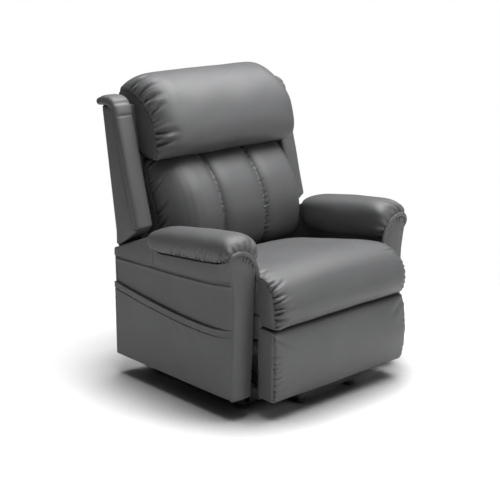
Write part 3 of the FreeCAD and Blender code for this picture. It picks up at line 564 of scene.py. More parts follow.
def headrest():
    """Bolster with flat gusset ends and pleats that fan out from the end seams."""
    middle, seam = through(HEAD_MID, 96, True), through(HEAD_SEAM, 96, True)
    ends = (HEAD_ENDS[RIGHT], HEAD_ENDS[LEFT])
    slope = 34.0 + 56.0 * ease((middle[:, 1] - 925.0) / 120.0)
    rings = [at_x(mix(seam, middle, rounded_over(x, *ends, 92.0, slope, 0.97)), x)
             for x in stations(*ends, 92.0, 80.0)]
    sewn_line = through(HEAD_SEAM[1:11], 120)
    seams = {side: Seam(at_x(sewn_line, side * half)) for side, half in HEAD_ENDS.items()}

    def held(p):
        sewn = from_seams(seams.values(), p)
        rests = (p[:, 1] > board_line(p[:, 2]) - 8.0) & (p[:, 2] < FRAME_TOP + 6.0)
        flat = (p[:, 0] < 2.0 - HEAD_ENDS[RIGHT]) | (p[:, 0] > HEAD_ENDS[LEFT] - 2.0)
        return (sewn < 6.0) | rests | flat

    obj, p, n = filled("headrest_bolster", rings_mesh(rings), "back", "headrest", 5.5, 2, held, 3.2, 12.0, 9)
    out = softness(p, 95.0, 1.6, 1.0)
    for side, seam in seams.items():
        along, away, _ = seam.near(p)
        own = p[:, 0] * side > 0
        face = (p[:, 0] * side < HEAD_ENDS[side] - 1.2) & own
        long = 96.0 if side == RIGHT else 46.0
        out -= 3.2 * bell(away / 3.2) * own
        out += 1.6 * bell((away - 9.0) / 5.0) * face
        out += gathers(along, away, 84.0, 335.0, 27.0, long, 5.2, 11.5, 0.05, 12 - side, 2.0) * face
        out += gathers(along, away, 30.0, 100.0, 24.0, 34.0, 4.0, 1.6, -0.1, 22 - side, 2.0) * face
        out -= 1.3 * bell((away - 7.0) / 1.6) * (own & ~face)
    p = p + n * out[:, None]
    low = p[:, 2] < FRAME_TOP + 1.0
    p[low, 1] = np.minimum(p[low, 1], board_line(p[low, 2]) - 1.0)
    move_to(obj, p)


# ---------------------------------------------------------------- back cushion
BACK_MID = [(112, 424), (84, 462), (72, 520), (78, 590), (104, 665), (150, 725), (205, 768), (280, 771),
            (286, 700), (272, 600), (258, 500), (252, 424), (180, 412)]
BACK_SEAM = [(124, 426), (102, 462), (95, 520), (102, 590), (134, 665), (182, 722), (222, 762), (280, 768),
             (286, 700), (272, 600), (258, 500), (252, 426), (184, 416)]
BACK_EDGE = [(226, 432), (216, 464), (212, 520), (221, 590), (246, 655), (264, 700), (276, 735), (282, 752),
             (284, 700), (272, 600), (258, 500), (252, 432), (240, 428)]
BACK_HALF = 298.0
CHANNEL = 98.0


def back_cushion():
    """Three upright channels, puckered along their seams."""
    middle, seam = through(BACK_MID, 110, True), through(BACK_SEAM, 110, True)
    edge = through(BACK_EDGE, 110, True)
    size = (BACK_HALF, BACK_HALF, 112.0, 52.0)
    inside = CHANNEL * np.array([0.35, 0.62, 0.8, 0.9, 0.96, 1.0, 1.04, 1.1, 1.22])
    inside = np.concatenate([-inside, inside])
    rings = []
    for x in sorted(set(np.concatenate([stations(*size), inside]))):
        profile = mix(seam, middle, 0.96 * dome(abs(CHANNEL - abs(x)) / 56.0))
        rings.append(at_x(mix(edge, profile, rounded_over(x, *size, 0.985)), x))
    seams = [Seam(at_x(seam[:62], side * CHANNEL)) for side in (LEFT, RIGHT)]
    edges = [Seam(at_x(edge[:62], side * BACK_HALF)) for side in (LEFT, RIGHT)]

    def held(p):
        rests = p[:, 1] > board_line(p[:, 2]) - 8.0
        return (from_seams(seams + edges, p) < 6.5) | rests | (p[:, 2] > 752.0)

    obj, p, n = filled("back_cushion_pad", rings_mesh(rings), "back", "back_cushion", 5.5, 1, held, 3.0, 14.0, 9)
    out = softness(p, 110.0, 1.8, 2.0)
    for number, line in enumerate(seams):
        along, away, step = line.near(p)
        outside = step[:, 0] * (1, -1)[number] > 0
        out -= 7.0 * bell(away / 3.2) + 3.0 * bell(away / 11.0)
        small = (2.8, 0.7)[number]
        out += gathers(along, away, 40.0, 390.0, 21.0, 26.0, 3.4, small, 0.5, 31 + number) * outside
        out += gathers(along, away, 30.0, 390.0, 23.0, 22.0, 3.4, small, -0.4, 41 + number) * (1 - outside)
        top = line.length - 95.0
        out += gathers(along, away, top, line.length - 30.0, 16.0, 34.0, 3.6, 4.2, 0.5, 51 + number)
    for number, line in enumerate(edges):
        along, away, step = line.near(p)
        face = step[:, 0] * (1, -1)[number] < -0.5
        out -= 3.4 * bell(away / 3.4)
        out += gathers(along, away, 96.0, 400.0, 56.0, 74.0, 5.0, (6.0, 9.5)[number], 0.55, 61 + number) * face
        out += gathers(along, away, 70.0, 400.0, 58.0, 30.0, 4.0, 2.4, 0.3, 71 + number) * face
    p = p + n * out[:, None]
    p[:, 1] = np.minimum(p[:, 1], board_line(p[:, 2]) - 1.0)
    p[:, 0] = np.clip(p[:, 0], -300.0, 300.0)
    move_to(obj, p)


def gap_linings():
    """Leather down each side of the back and over its top, deep in the gap between cushion and wing."""
    z = np.linspace(476.0, FRAME_TOP + 1.0, 56)
    up = np.column_stack([board_line(z) - 2.0, z])
    over = [(up[-1, 0] + 1.0, FRAME_TOP + 3.0), (rear_line(FRAME_TOP) - 30.0, FRAME_TOP + 3.4),
            (rear_line(FRAME_TOP) - 7.0, FRAME_TOP + 3.0)]
    line = np.vstack([up, over])
    way = heading(line)
    under = line + np.column_stack([way[:, 1], -way[:, 0]]) * 1.6
    x = np.array([262.0, 280.0, 297.0, 314.0, 329.0])
    pair("gap_lining", slab_mesh(*[(x, rows[:, :1], rows[:, 1:]) for rows in (line, under)]), "back")


# ---------------------------------------------------------------- seat cushion
SEAT_MID = [(-388, 314), (-406, 340), (-410, 380), (-392, 430), (-344, 469), (-262, 486), (-175, 480),
            (-80, 464), (0, 450), (58, 440), (74, 420), (74, 380), (60, 330), (-100, 320), (-300, 313)]
SEAT_SEAM = [(-389, 314), (-384, 342), (-378, 380), (-364, 434), (-320, 464), (-258, 455), (-175, 436),
             (-80, 420), (0, 412), (56, 404), (70, 394), (70, 376), (58, 332), (-100, 322), (-300, 314)]
SEAT_SEAM_LEFT = [(-389, 314), (-397, 342), (-398, 378), (-387, 416), (-345, 446), (-262, 450), *SEAT_SEAM[6:]]
SEAT_HALF = 305.0


def seat_cushion():
    """Boxed seat with a waterfall front, gathered into its side seams."""
    middle = through(SEAT_MID, 120, True)
    seams = {RIGHT: through(SEAT_SEAM, 120, True), LEFT: through(SEAT_SEAM_LEFT, 120, True)}
    slope = 40.0 + 210.0 * ease((middle[:, 0] + 330.0) / 150.0)
    rings = [at_x(mix(seams[RIGHT if x < 0 else LEFT], middle,
                      rounded_over(x, SEAT_HALF, SEAT_HALF, 48.0, slope)), x)
             for x in stations(SEAT_HALF, SEAT_HALF, 44.0, 150.0)]
    sides = [Seam(at_x(seams[side][:52], side * SEAT_HALF)) for side in (LEFT, RIGHT)]

    def held(p):
        rests = (p[:, 2] < 330.0) & (p[:, 1] > -372.0)
        return (from_seams(sides, p) < 6.5) | rests | (p[:, 1] > 66.0)

    obj, p, n = filled("seat_cushion_pad", rings_mesh(rings), "carriage", "seat_cushion", 6.0, 2, held, 2.6, 10.0, 9)
    crown = np.clip(1 - (p[:, 0] / SEAT_HALF) ** 2, 0, 1) * ease((p[:, 2] - 400.0) / 90.0)
    out = softness(p, 130.0, 2.0, 3.0) + 7.0 * crown
    for number, line in enumerate(sides):
        along, away, step = line.near(p)
        top = step[:, 0] * (1, -1)[number] < -0.5
        out -= 4.6 * bell(away / 4.2)
        plain = np.where(p[:, 0] < 0, 1.0, 0.35)
        out += gathers(along, away, 10.0, 245.0, 19.0, 70.0, 4.4, 8.0, 0.15, 81 + number) * top * plain
        out += gathers(along, away, 235.0, 420.0, 30.0, 30.0, 5.0, 2.0, 0.0, 91 + number) * top
        out -= 1.6 * bell((away - 9.0) / 2.0) * (1 - top)
    p = p + n * out[:, None]
    under = p[:, 1] > -319.0
    p[under, 2] = np.maximum(p[under, 2], 347.0)
    p[:, 2] = np.maximum(p[:, 2], 312.0)
    p[:, 0] = np.clip(p[:, 0], -306.5, 306.5)
    move_to(obj, p)


def seat_box_covers():
    """Leather over each side of the seat's timber box and round its front corner, clear of the links."""
    thick = 1.4
    line = np.array([(304.2, 60.0), (304.2, -150.0), (304.2, -310.0), (302.0, -320.0), (290.0, -320.6),
                     (264.0, -320.6)])
    into = np.array([(thick, 0), (thick, 0), (thick, 0), (thick, 0), (0.6, -thick), (0, -thick)])
    z = np.linspace(263.0, 343.0, 12)[:, None]
    pair("seat_box_leather", slab_mesh(*[(edge[:, 0], edge[:, 1], z) for edge in (line, line - into)]), "carriage")


# ---------------------------------------------------------------- legrest
PANEL_HALF = 311.0
PANEL_Z = (64.0, 304.0)
PANEL_FRONT = -387.0
PANEL_REAR = -312.0
BOARD_FACE = -346.0           # the pad's hollow back lies against the board here


def legrest_pad():
    """Boxed front panel: a padded face, sewn to the side pieces down its two front corners."""
    half, (low, high) = PANEL_HALF, PANEL_Z
    rings = []
    for z, inset in ((low, 12.0), (low + 1.0, 6.0), (low + 4.0, 2.5), (low + 10.0, 0.6), (low + 22.0, 0.0),
                     (low + 60.0, 0.0), ((low + high) / 2, 0.0), (high - 60.0, 0.0), (high - 22.0, 0.0),
                     (high - 10.0, 0.8), (high - 4.0, 3.0), (high - 1.0, 7.0), (high, 13.0)):
        swell = math.sin(math.pi * ((z - low) / (high - low)) ** 0.92) ** 0.8
        x, y = half - inset * 0.3 + 3.0 * swell, PANEL_FRONT + inset - 4.0 * swell
        belly = 10.0 * swell
        flat = [(-x, PANEL_REAR), (-x, y + 14), (-x + 1.5, y + 4), (-x + 6, y), (-x + 30, y - belly * 0.55),
                (-x + 90, y - belly), (0, y - belly), (x - 90, y - belly), (x - 30, y - belly * 0.55), (x - 6, y),
                (x - 1.5, y + 4), (x, y + 14), (x, PANEL_REAR)]
        line = spaced(flat + [flat[0]], 220, True)
        fuller = ease(line[:, 0] / half) * (line[:, 1] < y + 30.0)
        line[:, 1] -= 14.0 * swell * fuller * ease((y + 30.0 - line[:, 1]) / 30.0)
        rings.append(np.column_stack([line, np.full(len(line), z)]))

    def held(p):
        return (p[:, 1] > PANEL_FRONT + 12.0) | (p[:, 2] < low + 5.0)

    obj, p, n = filled("legrest_cover", rings_mesh(rings), "legrest", "legrest_pad", 4.5, 1, held, 2.0, 5.0, 7)
    corners = [Seam([(side * (half + 3.0 * s - 1.0), PANEL_FRONT + 2.0 - (4.0, 18.0)[side > 0] * s, z)
                     for z, s in ((low + 2.0, 0.0), (120.0, 0.8), (184.0, 1.0), (250.0, 0.8), (high - 2.0, 0.0))])
               for side in (LEFT, RIGHT)]
    out = softness(p, 120.0, 1.6, 4.0)
    for number, line in enumerate(corners):
        along, away, step = line.near(p)
        face = step[:, 0] * (1, -1)[number] < -1.0
        plain = np.where(p[:, 0] < 0, 1.0, 0.3)
        out -= 9.0 * bell(away / 4.0) * plain
        out += gathers(along, away, 6.0, 170.0, 19.0, 42.0, 4.4, 3.0, 0.1, 101 + number) * face * plain
        out += fold(along, away, line.length - 14.0, 130.0, 13.0, 4.6, -0.5) * face
    well = (p[:, 1] > PANEL_REAR - 26.0) & (np.abs(p[:, 0]) < half - 7.0)
    p = p + n * np.where(well, 0.0, out)[:, None]
    between = np.abs(p[:, 0]) < half - 8.0
    p[:, 1] = np.minimum(p[:, 1], np.where(between, PANEL_REAR - 8.0, PANEL_REAR))
    p[between & (p[:, 1] > PANEL_REAR - 12.0) & (p[:, 2] > low + 8.0) & (p[:, 2] < high - 8.0), 1] = BOARD_FACE
    move_to(obj, p)


# ---------------------------------------------------------------- arms, made on +X and mirrored
ARM_FRONT = -299.0
ARM_REAR = 318.0
ARM_LOW = 71.0
ARM_IN = 327.0
UPPER_SEAM = [(-304, 461), (-193, 448), (-81, 441), (6, 437), (96, 435), (196, 432), (318, 428)]
HEM = [(-311, 316), (-255, 304), (-179, 299), (-102, 300), (-8, 305), (159, 321), (318, 341)]
# (z, x) of the arm's outer front edge, which is drawn in to a waist below the roll.
WAIST = [(71, 408), (174, 406.5), (245, 404), (314, 401), (383, 400), (435, 401.5), (478, 407), (520, 413),
         (560, 416)]
# The front panel, from its outer foot up over the arch and down its inner edge.
PANEL = [(408, 71), (406.5, 174), (404, 245), (401, 314), (400, 383), (401.5, 435), (408, 478), (414, 515),
         (414, 540), (399, 552), (368, 552), (338, 538), (317, 511), (307, 480), (305, 455), (307, 425),
         (311, 340), (317, 199), (326, 71)]
# Middle of the flat band between the panel and the roll.
BAND = [(412, 508), (418, 532), (405, 553), (370, 559), (337, 545), (312, 516), (300, 483), (298, 450), (303, 418)]


def line_z(points, y):
    """Height of a (y, z) line at y."""
    line = through(points, 200)
    return np.interp(y, line[:, 0], line[:, 1])


def rows_between(low, high, shares):
    """Rows that climb from one line to another, a row for each share of the way."""
    return low + (high - low) * shares[:, None]


def edge_fall(distance, radius):
    """How far a padded face falls back near its edge."""
    return radius * (1.0 - dome(distance / radius))


def crowded(count, ends=0.12):
    """0 to 1, closer together near both ends."""
    t = np.linspace(0, 1, count)
    return t - ends * np.sin(2 * np.pi * t) / (2 * np.pi) * 4.0


def drawn_in(x, y, z, less=0.0):
    """The side's x, bent in to the waist of the arm's front edge."""
    edge = np.interp(z, *through(WAIST, 200).T) - less
    return x + (edge - x) * ease(1.0 - (y - ARM_FRONT) / 112.0)


def arm_side():
    """Side cover from the floor edge to the roll and over the sloping rear, with its two seams."""
    across = crowded(150)
    y = ARM_FRONT + 6.0 + (ARM_REAR - ARM_FRONT - 6.0) * across
    seam = line_z(UPPER_SEAM, y)
    top = np.interp(y, [ARM_FRONT, -232.0, -143.0, -44.0, 60.0, 92.0, 121.0, ARM_REAR],
                    [540.0, 518.0, 508.0, 500.0, 492.0, 512.0, 533.0, 461.0])
    z = np.vstack([rows_between(ARM_LOW, seam, crowded(70, 0.06)), rows_between(seam, top, crowded(40, 0.06)[1:])])
    yy = np.broadcast_to(y, z.shape)
    hem = np.broadcast_to(line_z(HEM, y), z.shape)
    hollow = np.sin(np.pi * np.clip((z - hem) / (seam - hem), 0, 1))
    upper = ease((z - seam) / 10.0)
    lean = np.clip((z - seam) / (top - seam), 0, 1)
    x = 405.2 - 0.8 * hollow + upper * (2.4 + 3.4 * lean * (yy < 110.0) + 1.6 * np.sin(np.pi * lean))
    x = drawn_in(x, yy, z, 2.6 * ease((hem - z + 4.0) / 6.0))
    x = x - 3.4 * bell((z - seam) / 2.4) + 1.2 * bell((z - seam + 7.0) / 4.0) + 0.8 * bell((z - seam - 7.0) / 3.0)
    short = (z > seam) * bell((yy - 92.0 + 0.08 * (z - 480.0)) / 2.2)
    x = x - 3.0 * short
    gap = np.minimum(np.minimum(ARM_REAR - yy, z - ARM_LOW), np.where(yy > 96.0, top - z, 99.0))
    x = x - edge_fall(gap, 6.0)
    pair("arm_side_cover", slab_mesh((x, yy, z), (394.0, yy, z)), "carriage", "arm_outer_panel")


def arm_pocket():
    """Flat pocket on the side: a leather sheet with a stitched hem, slack below its mouth."""
    y = ARM_FRONT + 6.0 + (ARM_REAR - ARM_FRONT - 7.0) * crowded(160)
    hem = line_z(HEM, y)
    z = rows_between(ARM_LOW, hem, 1.0 - (1.0 - np.linspace(0, 1, 110)) ** 1.5)
    yy = np.broadcast_to(y, z.shape)
    below = hem - z
    x = 411.0 + 2.6 * np.sin(np.pi * np.clip((yy - ARM_FRONT) / 617.0, 0, 1)) * ease(1 - below / 150.0)
    x = x + 1.6 * ease((23.0 - below) / 2.4) - 1.8 * bell((below - 23.5) / 1.8)
    drag = np.zeros(z.shape)
    luck = np.random.default_rng(5)
    for k in range(9):
        at = luck.uniform(-140.0, 40.0)
        line = (yy - at) - (below - 24.0) * luck.uniform(-1.1, -0.5)
        deep = luck.uniform(0.5, 1.6)
        drag += deep * bell(line / luck.uniform(6.0, 11.0)) * ease(below / 30.0) * ease(1 - below / 95.0)
    x = drawn_in(x + drag, yy, z)
    gap = np.minimum(ARM_REAR - yy, z - ARM_LOW)
    x = x - edge_fall(gap, 5.5) - 1.8 * (1 - dome(below / 2.2))
    inner = np.minimum(np.where(below > 60.0, 405.0, 408.6), x - 1.0)
    pair("arm_pocket_sheet", slab_mesh((x, yy, z), (inner, yy, z)), "carriage", "arm_pocket")


def arm_rear():
    """Cover down the rear of the arm and over its slope."""
    path = [(ARM_REAR - 1.0, ARM_LOW), (ARM_REAR - 0.5, 180.0), (ARM_REAR, 330.0), (ARM_REAR, 440.0),
            (ARM_REAR - 3.0, 458.0), (ARM_REAR - 16.0, 466.5), (220.0, 499.0), (136.0, 530.0), (120.0, 533.0),
            (106.0, 526.0), (96.0, 510.0)]
    line = through(path, 150)
    way = heading(line)
    out_y, out_z = way[:, 1:], -way[:, :1]
    across = crowded(34, 0.14)
    x = ARM_IN + 0.5 + (405.0 - ARM_IN) * across
    gap = np.minimum(x - ARM_IN, 406.0 - x)
    fall = edge_fall(gap + 0.5, 8.0)[None] - 2.0 * np.sin(np.pi * across)[None]
    skins = [(x, line[:, :1] - deep * out_y, line[:, 1:] - deep * out_z) for deep in (fall, 11.0)]
    pair("arm_rear_leather", slab_mesh(*skins), "carriage", "arm_rear_cover")


def arm_inside():
    """Inner side of the arm, which the seat hides all but the edges of."""
    y = ARM_FRONT + 6.0 + (ARM_REAR - ARM_FRONT - 6.0) * crowded(90)
    top = np.interp(y, [ARM_FRONT, 30.0, 66.0, 96.0, 121.0, ARM_REAR], [506.0, 486.0, 490.0, 526.0, 531.0, 460.0])
    z = rows_between(ARM_LOW, top, crowded(60))
    yy = np.broadcast_to(y, z.shape)
    gap = np.minimum(np.minimum(ARM_REAR - yy, z - ARM_LOW), np.where(yy > 96.0, top - z, 99.0))
    x = ARM_IN + edge_fall(gap, 6.0) + 0.4 * np.sin(yy / 37.0) * np.sin(z / 41.0)
    pair("arm_inner_cover", slab_mesh((x, yy, z), (336.0, yy, z)), "carriage", "arm_inner_panel")


def arm_front():
    """Arched front panel, padded a little and puckered into its band."""
    line = through(PANEL, 261)
    half = len(line) // 2
    left, right = line[:half + 1], line[::-1][:half + 1]
    across = crowded(45, 0.14)
    grid = left[:, None] * (1 - across)[None, :, None] + right[:, None] * across[None, :, None]
    flat = grid.reshape(-1, 2)
    dense = through(PANEL, 1200)
    reach = reached(dense)
    nearest = nearest_on(dense, flat)
    gap, along = np.linalg.norm(flat - dense[nearest], axis=1), reach[nearest]
    arch = reach[np.argmax(dense[:, 1])]
    pucker = gathers(along, gap, arch - 70.0, arch + 165.0, 14.0, 36.0, 3.4, 1.9, 0.0, 7, 0.0)
    fall = edge_fall(gap, 7.0) - pucker - 3.0 * ease(gap / 40.0)
    y = np.clip(-297.0 + fall, -303.0, -287.5).reshape(grid.shape[:2])
    skins = [(grid[:, :, 0], at, grid[:, :, 1]) for at in (y, -286.5)]
    pair("arm_front_leather", slab_mesh(*skins), "carriage", "arm_front_panel")


def arm_band():
    """Stuffed, flattened band round the arch, between the front panel and the roll, drawn in at its ends."""
    line = through(BAND, 200)
    at = np.arange(len(line))
    line = np.column_stack([line[:, 0], -298.5 + 5.0 * (1 - ease(at / 50.0)), line[:, 1]])
    across = np.cross(heading(line), (0, 1, 0))
    turn = np.linspace(0, 2 * np.pi, 16, endpoint=False)[None, :, None]
    size = (dome((at + 0.3) / 60.0) * dome((len(line) - at - 0.7) / 12.0))[:, None, None]
    rings = line[:, None] + size * (7.4 * across[:, None] * np.cos(turn) + np.array([0, 5.6, 0]) * np.sin(turn))
    pair("arm_band", rings_mesh(rings), "carriage")


def roll_ring(y, inner, outer, low, high, foot, count=96):
    """Section of an arm roll: round on top, squarer down to its inner side's low edge and its outer foot."""
    turn = np.linspace(0, 2 * np.pi, count, endpoint=False)
    cos, sin = np.cos(turn), np.sin(turn)
    power = np.where(sin < 0, 0.60, 0.88)
    x = (inner + outer) / 2 + (outer - inner) / 2 * squared(cos, power)
    middle = (foot + high) / 2 + 4.0
    base = low + (foot - low) * ease((cos + 0.6) / 1.2)
    z = middle + np.where(sin < 0, base - middle, high - middle) * np.abs(sin) ** power
    return np.column_stack([x, np.full(count, y), z])


ROLL_FOOT = 486.0             # the seam along the foot of a roll starts at this height
# Along the roll: y, inner and outer x, low edge, top, and the foot of its outer side.
ROLL = [(-298, 308, 411, 506, 568, 530), (-295, 300, 416, 494, 579, 527), (-288, 293, 419, 484, 591, 525),
        (-276, 288, 420, 476, 601, 522), (-258, 286, 420, 470, 608, 517), (-232, 286, 420, 466, 610, 511),
        (-180, 288, 420, 458, 606, 504), (-110, 290, 419, 450, 599, 498), (-40, 291, 418, 445, 590, 492),
        (20, 293, 417, 443, 582, 487), (62, 296, 417, 443, 575, 484), (95, 302, 416, 447, 566, 484),
        (118, 311, 412, 459, 557, 487), (134, 324, 404, 474, 548, 493), (144, 339, 393, 491, 538, 502),
        (149, 356, 376, 508, 526, 512)]


def arm_rolls():
    """Padded roll along the arm: bullet-nosed at the rear, gathered into the band in front."""
    skin = rings_mesh([roll_ring(*row) for row in through(ROLL, 64)])
    band = through(BAND, 300)
    for side, end in SIDES:
        rim = Seam(np.column_stack([band[:, 0] * side, np.full(len(band), -295.0), band[:, 1]]))
        foot = Seam([(side * 414.0, y, z) for y, z in ((74, ROLL_FOOT), (-44, 495), (-143, 503), (-232, 514),
                                                       (-266, 524), (-289, 534))])

        def held(p):
            below = (p[:, 2] < 505.0) & (np.abs(p[:, 0]) > ARM_IN) & (np.abs(p[:, 0]) < 406.0)
            return (p[:, 1] < -291.0) | (foot.near(p)[1] < 7.0) | below

        obj, p, n = filled(f"arm_roll_pad_{end}", skin, "carriage", f"arm_roll_{end}", 5.0, 2, held, 2.4, 7.0, 8,
                           side=side)
        out = softness(p, 90.0, 1.5, 5.0 + side)
        along, away, _ = rim.near(p)
        out += gathers(along, away, 20.0, rim.length, 19.0, 66.0, 4.4, 6.6, 0.08, 111 + side, 8.0)
        along, away, _ = foot.near(p)
        over = ease((p[:, 2] - ROLL_FOOT) / 8.0)
        out -= 1.6 * bell(away / 3.4)
        out += gathers(along, away, 70.0, 350.0, 21.0, 66.0, 4.8, 3.4, 0.8, 121 + side) * over
        p = p + n * out[:, None]
        p[:, 1] = np.maximum(p[:, 1], -300.0)
        p[:, 0] = np.clip(p[:, 0], -425.0, 425.0)
        move_to(obj, p)


# ---------------------------------------------------------------- wings
WING_IN, WING_OUT = 330.0, 400.0
WING_MID = (WING_IN + WING_OUT) / 2
WING_TOP = 950.0
WING_FOOT = (535.0, 464.0)    # at the wing's front and at its rear
STRIP = 30.0


def rounded_box(x0, x1, y0, y1, radius, count=64):
    """A rounded rectangle in plan, (x, y)."""
    corners = []
    for cx, cy, first in ((x1 - radius, y1 - radius, 0), (x0 + radius, y1 - radius, 90),
                          (x0 + radius, y0 + radius, 180), (x1 - radius, y0 + radius, 270)):
        for angle in np.radians(np.linspace(first, first + 90, 9)):
            corners.append((cx + radius * math.cos(angle), cy + radius * math.sin(angle)))
    return spaced(corners + [corners[0]], count, True)


def wing_sides():
    """Flat covered side of the back, behind its padded strip."""
    rings = []
    for t in np.concatenate([[0.0, 0.004, 0.012, 0.03], np.linspace(0.06, 0.94, 24), [0.97, 0.99, 1.0]]):
        z_front, z_rear = [foot + (WING_TOP - foot) * t for foot in WING_FOOT]
        inset = 6.0 * (1 - dome(min(t, 1 - t) / 0.02))
        y0, y1 = front_line(z_front) + STRIP - 14.0, rear_line(z_rear) - 2.0
        flat = rounded_box(WING_IN + inset, WING_OUT - 1.0 - inset, y0, y1, 6.0)
        share = (flat[:, 1] - y0) / (y1 - y0)
        z = z_front + (z_rear - z_front) * share
        swell = 1.5 * math.sin(math.pi * t) * np.sin(np.pi * share)
        flat[:, 0] += np.where(flat[:, 0] > WING_MID, swell, 0.0)
        rings.append(np.column_stack([flat, z]))
    pair("wing_side", rings_mesh(rings), "back", "wing_body")


def wing_strips():
    """Padded strip up the front of the wing, folded back over its top to a horn."""
    path = [(front_line(z) + 12.0, z) for z in (538.0, 640.0, 760.0, 860.0, 905.0)]
    path += [(306.0, 934.0), (322.0, 955.0), (346.0, 965.0), (372.0, 964.0), (394.0, 960.0), (410.0, 956.0)]
    line = through(path, 150)
    way = heading(line)
    out = np.column_stack([-way[:, 1], way[:, 0]])
    reach = reached(line)
    total = reach[-1]
    rings = []
    for k, at in enumerate(reach):
        bend = ease((at - total + 130.0) / 40.0)
        front = 15.0 * (1 - bend) + 20.0 * bend - 6.0 * ease((at - total + 40.0) / 40.0)
        rear = 17.0 * (1 - bend) + 20.0 * bend - 7.0 * ease((at - total + 60.0) / 60.0)
        wide = 35.0 + 1.5 * bend
        shut = dome((at + 0.5) / 14.0) * (0.45 + 0.55 * dome((total - at + 0.3) / 10.0))
        crease = 1.0 - 0.22 * bell((at - total + 134.0) / 3.6) - 0.22 * bell((at - total + 98.0) / 3.6)
        crease -= 0.18 * bell((at - total + 58.0) / 3.6)
        turn = np.linspace(0, 2 * np.pi, 72, endpoint=False)
        cx = squared(np.cos(turn), 0.55) * wide * shut
        cy = squared(np.sin(turn), 0.72) * np.where(np.sin(turn) > 0, front, rear) * shut * crease
        rings.append(np.column_stack([WING_MID + cx, line[k, 0] + out[k, 0] * cy, line[k, 1] + out[k, 1] * cy]))
    for (side, _), obj in zip(SIDES, pair("wing_strip_pad", rings_mesh(rings), "back", "wing_strip")):
        p, n = refined(obj)
        move_to(obj, p + n * softness(p, 80.0, 1.0, 8.0 + side)[:, None])


# ---------------------------------------------------------------- rear
def rear_panel():
    """Covered rear of the back: narrow between the arms, full width above them."""
    z = np.concatenate([np.linspace(292, 468, 40), 474 + (FRAME_TOP - 474) * crowded(90)])
    wide = np.where(z < 470.0, 321.0, 397.0)
    across = crowded(90, 0.1) * 2 - 1
    x = wide[:, None] * across[None]
    zz = np.broadcast_to(z[:, None], x.shape)
    rear = np.where(zz < REAR_BEND, 320.0, rear_line(zz))
    gap = np.minimum(np.minimum(wide[:, None] - np.abs(x), FRAME_TOP - zz), zz - 292.0)
    seams = bell((np.abs(x) - 250.0) / 2.6) * 2.2
    pull = 0.8 * np.sin(np.pi * across)[None] * np.sin(zz / 90.0)
    y = rear - edge_fall(gap, 5.0) - seams + 1.2 * np.cos(np.pi * across / 2)[None] + pull * 0.4 - 0.6
    piece("rear_leather_panel", slab_mesh((x, y, zz), (x, rear - 6.5, zz)), "back", "back_rear_panel")


# ---------------------------------------------------------------- stitches
def stitch_tree():
    """Geometry nodes that sew stitches along a line: one short thread for each step of its length."""
    tree = bpy.data.node_groups.new("stitches", "GeometryNodeTree")
    tree.interface.new_socket("Geometry", in_out="INPUT", socket_type="NodeSocketGeometry")
    for name, size in (("Pitch", 0.0042), ("Length", 0.0030), ("Radius", 0.0005)):
        socket = tree.interface.new_socket(name, in_out="INPUT", socket_type="NodeSocketFloat")
        socket.default_value = size
    tree.interface.new_socket("Thread", in_out="INPUT", socket_type="NodeSocketMaterial")
    tree.interface.new_socket("Geometry", in_out="OUTPUT", socket_type="NodeSocketGeometry")

    def node(kind, settings=None, **links):
        made = tree.nodes.new(kind)
        for key, value in (settings or {}).items():
            setattr(made, key, value)
        for key, value in links.items():
            socket = made.inputs[key.replace("_", " ")]
            if isinstance(value, bpy.types.NodeSocket):
                tree.links.new(value, socket)
            else:
                socket.default_value = value
        return made

    given = node("NodeGroupInput").outputs
    curve = node("GeometryNodeMeshToCurve", Mesh=given["Geometry"])
    even = node("GeometryNodeResampleCurve", {"mode": "LENGTH"}, Curve=curve.outputs[0], Length=given["Pitch"])
    thread = node("GeometryNodeMeshCylinder", Vertices=6, Radius=given["Radius"], Depth=given["Length"])
    tangent = node("GeometryNodeInputTangent")
    turn = node("FunctionNodeAlignRotationToVector", {"axis": "Z"}, Vector=tangent.outputs[0])
    uneven = node("FunctionNodeRandomValue", {"data_type": "FLOAT"}, Seed=7)
    low, high = [socket for socket in uneven.inputs if socket.name in ("Min", "Max") and socket.type == "VALUE"][:2]
    low.default_value, high.default_value = 0.88, 1.08
    size = [socket for socket in uneven.outputs if socket.type == "VALUE"][0]
    sewn = node("GeometryNodeInstanceOnPoints", Points=even.outputs[0], Instance=thread.outputs[0],
                Rotation=turn.outputs[0])
    tree.links.new(size, sewn.inputs["Scale"])
    real = node("GeometryNodeRealizeInstances", Geometry=sewn.outputs[0])
    done = node("GeometryNodeSetMaterial", Geometry=real.outputs[0], Material=given["Thread"])
    out = node("NodeGroupOutput")
    tree.links.new(done.outputs[0], out.inputs[0])
    return tree


STITCHES = stitch_tree()


def laid_on(name, points, lift=0.35):
    """A line moved to the nearest skin of the named piece and lifted off it a little."""
    tree = BVHTree.FromObject(bpy.data.objects[name], bpy.context.evaluated_depsgraph_get())
    hits = [tree.find_nearest(Vector(point) * MM) for point in points]
    return np.array([np.array(hit[0] + hit[1] * lift * MM) / MM for hit in hits])


def stitching(body, lines):
    """All the stitches on one body, as one plain mesh."""
    points, edges = [], []
    for line in lines:
        edges += [(len(points) + i, len(points) + i + 1) for i in range(len(line) - 1)]
        points += list(line)
    mesh = bpy.data.meshes.new(f"stitch_lines_{body}")
    mesh.from_pydata([tuple(p) for p in np.array(points) * MM], edges, [])
    mesh.materials.append(THREAD)
    obj = placed(f"stitching_{body}", mesh)
    sew = obj.modifiers.new("sew", "NODES")
    sew.node_group = STITCHES
    for item in STITCHES.interface.items_tree:
        if item.name == "Thread":
            sew[item.identifier] = THREAD
    apply_modifiers(obj)
    for polygon in obj.data.polygons:
        polygon.use_smooth = False
    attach(obj, body)


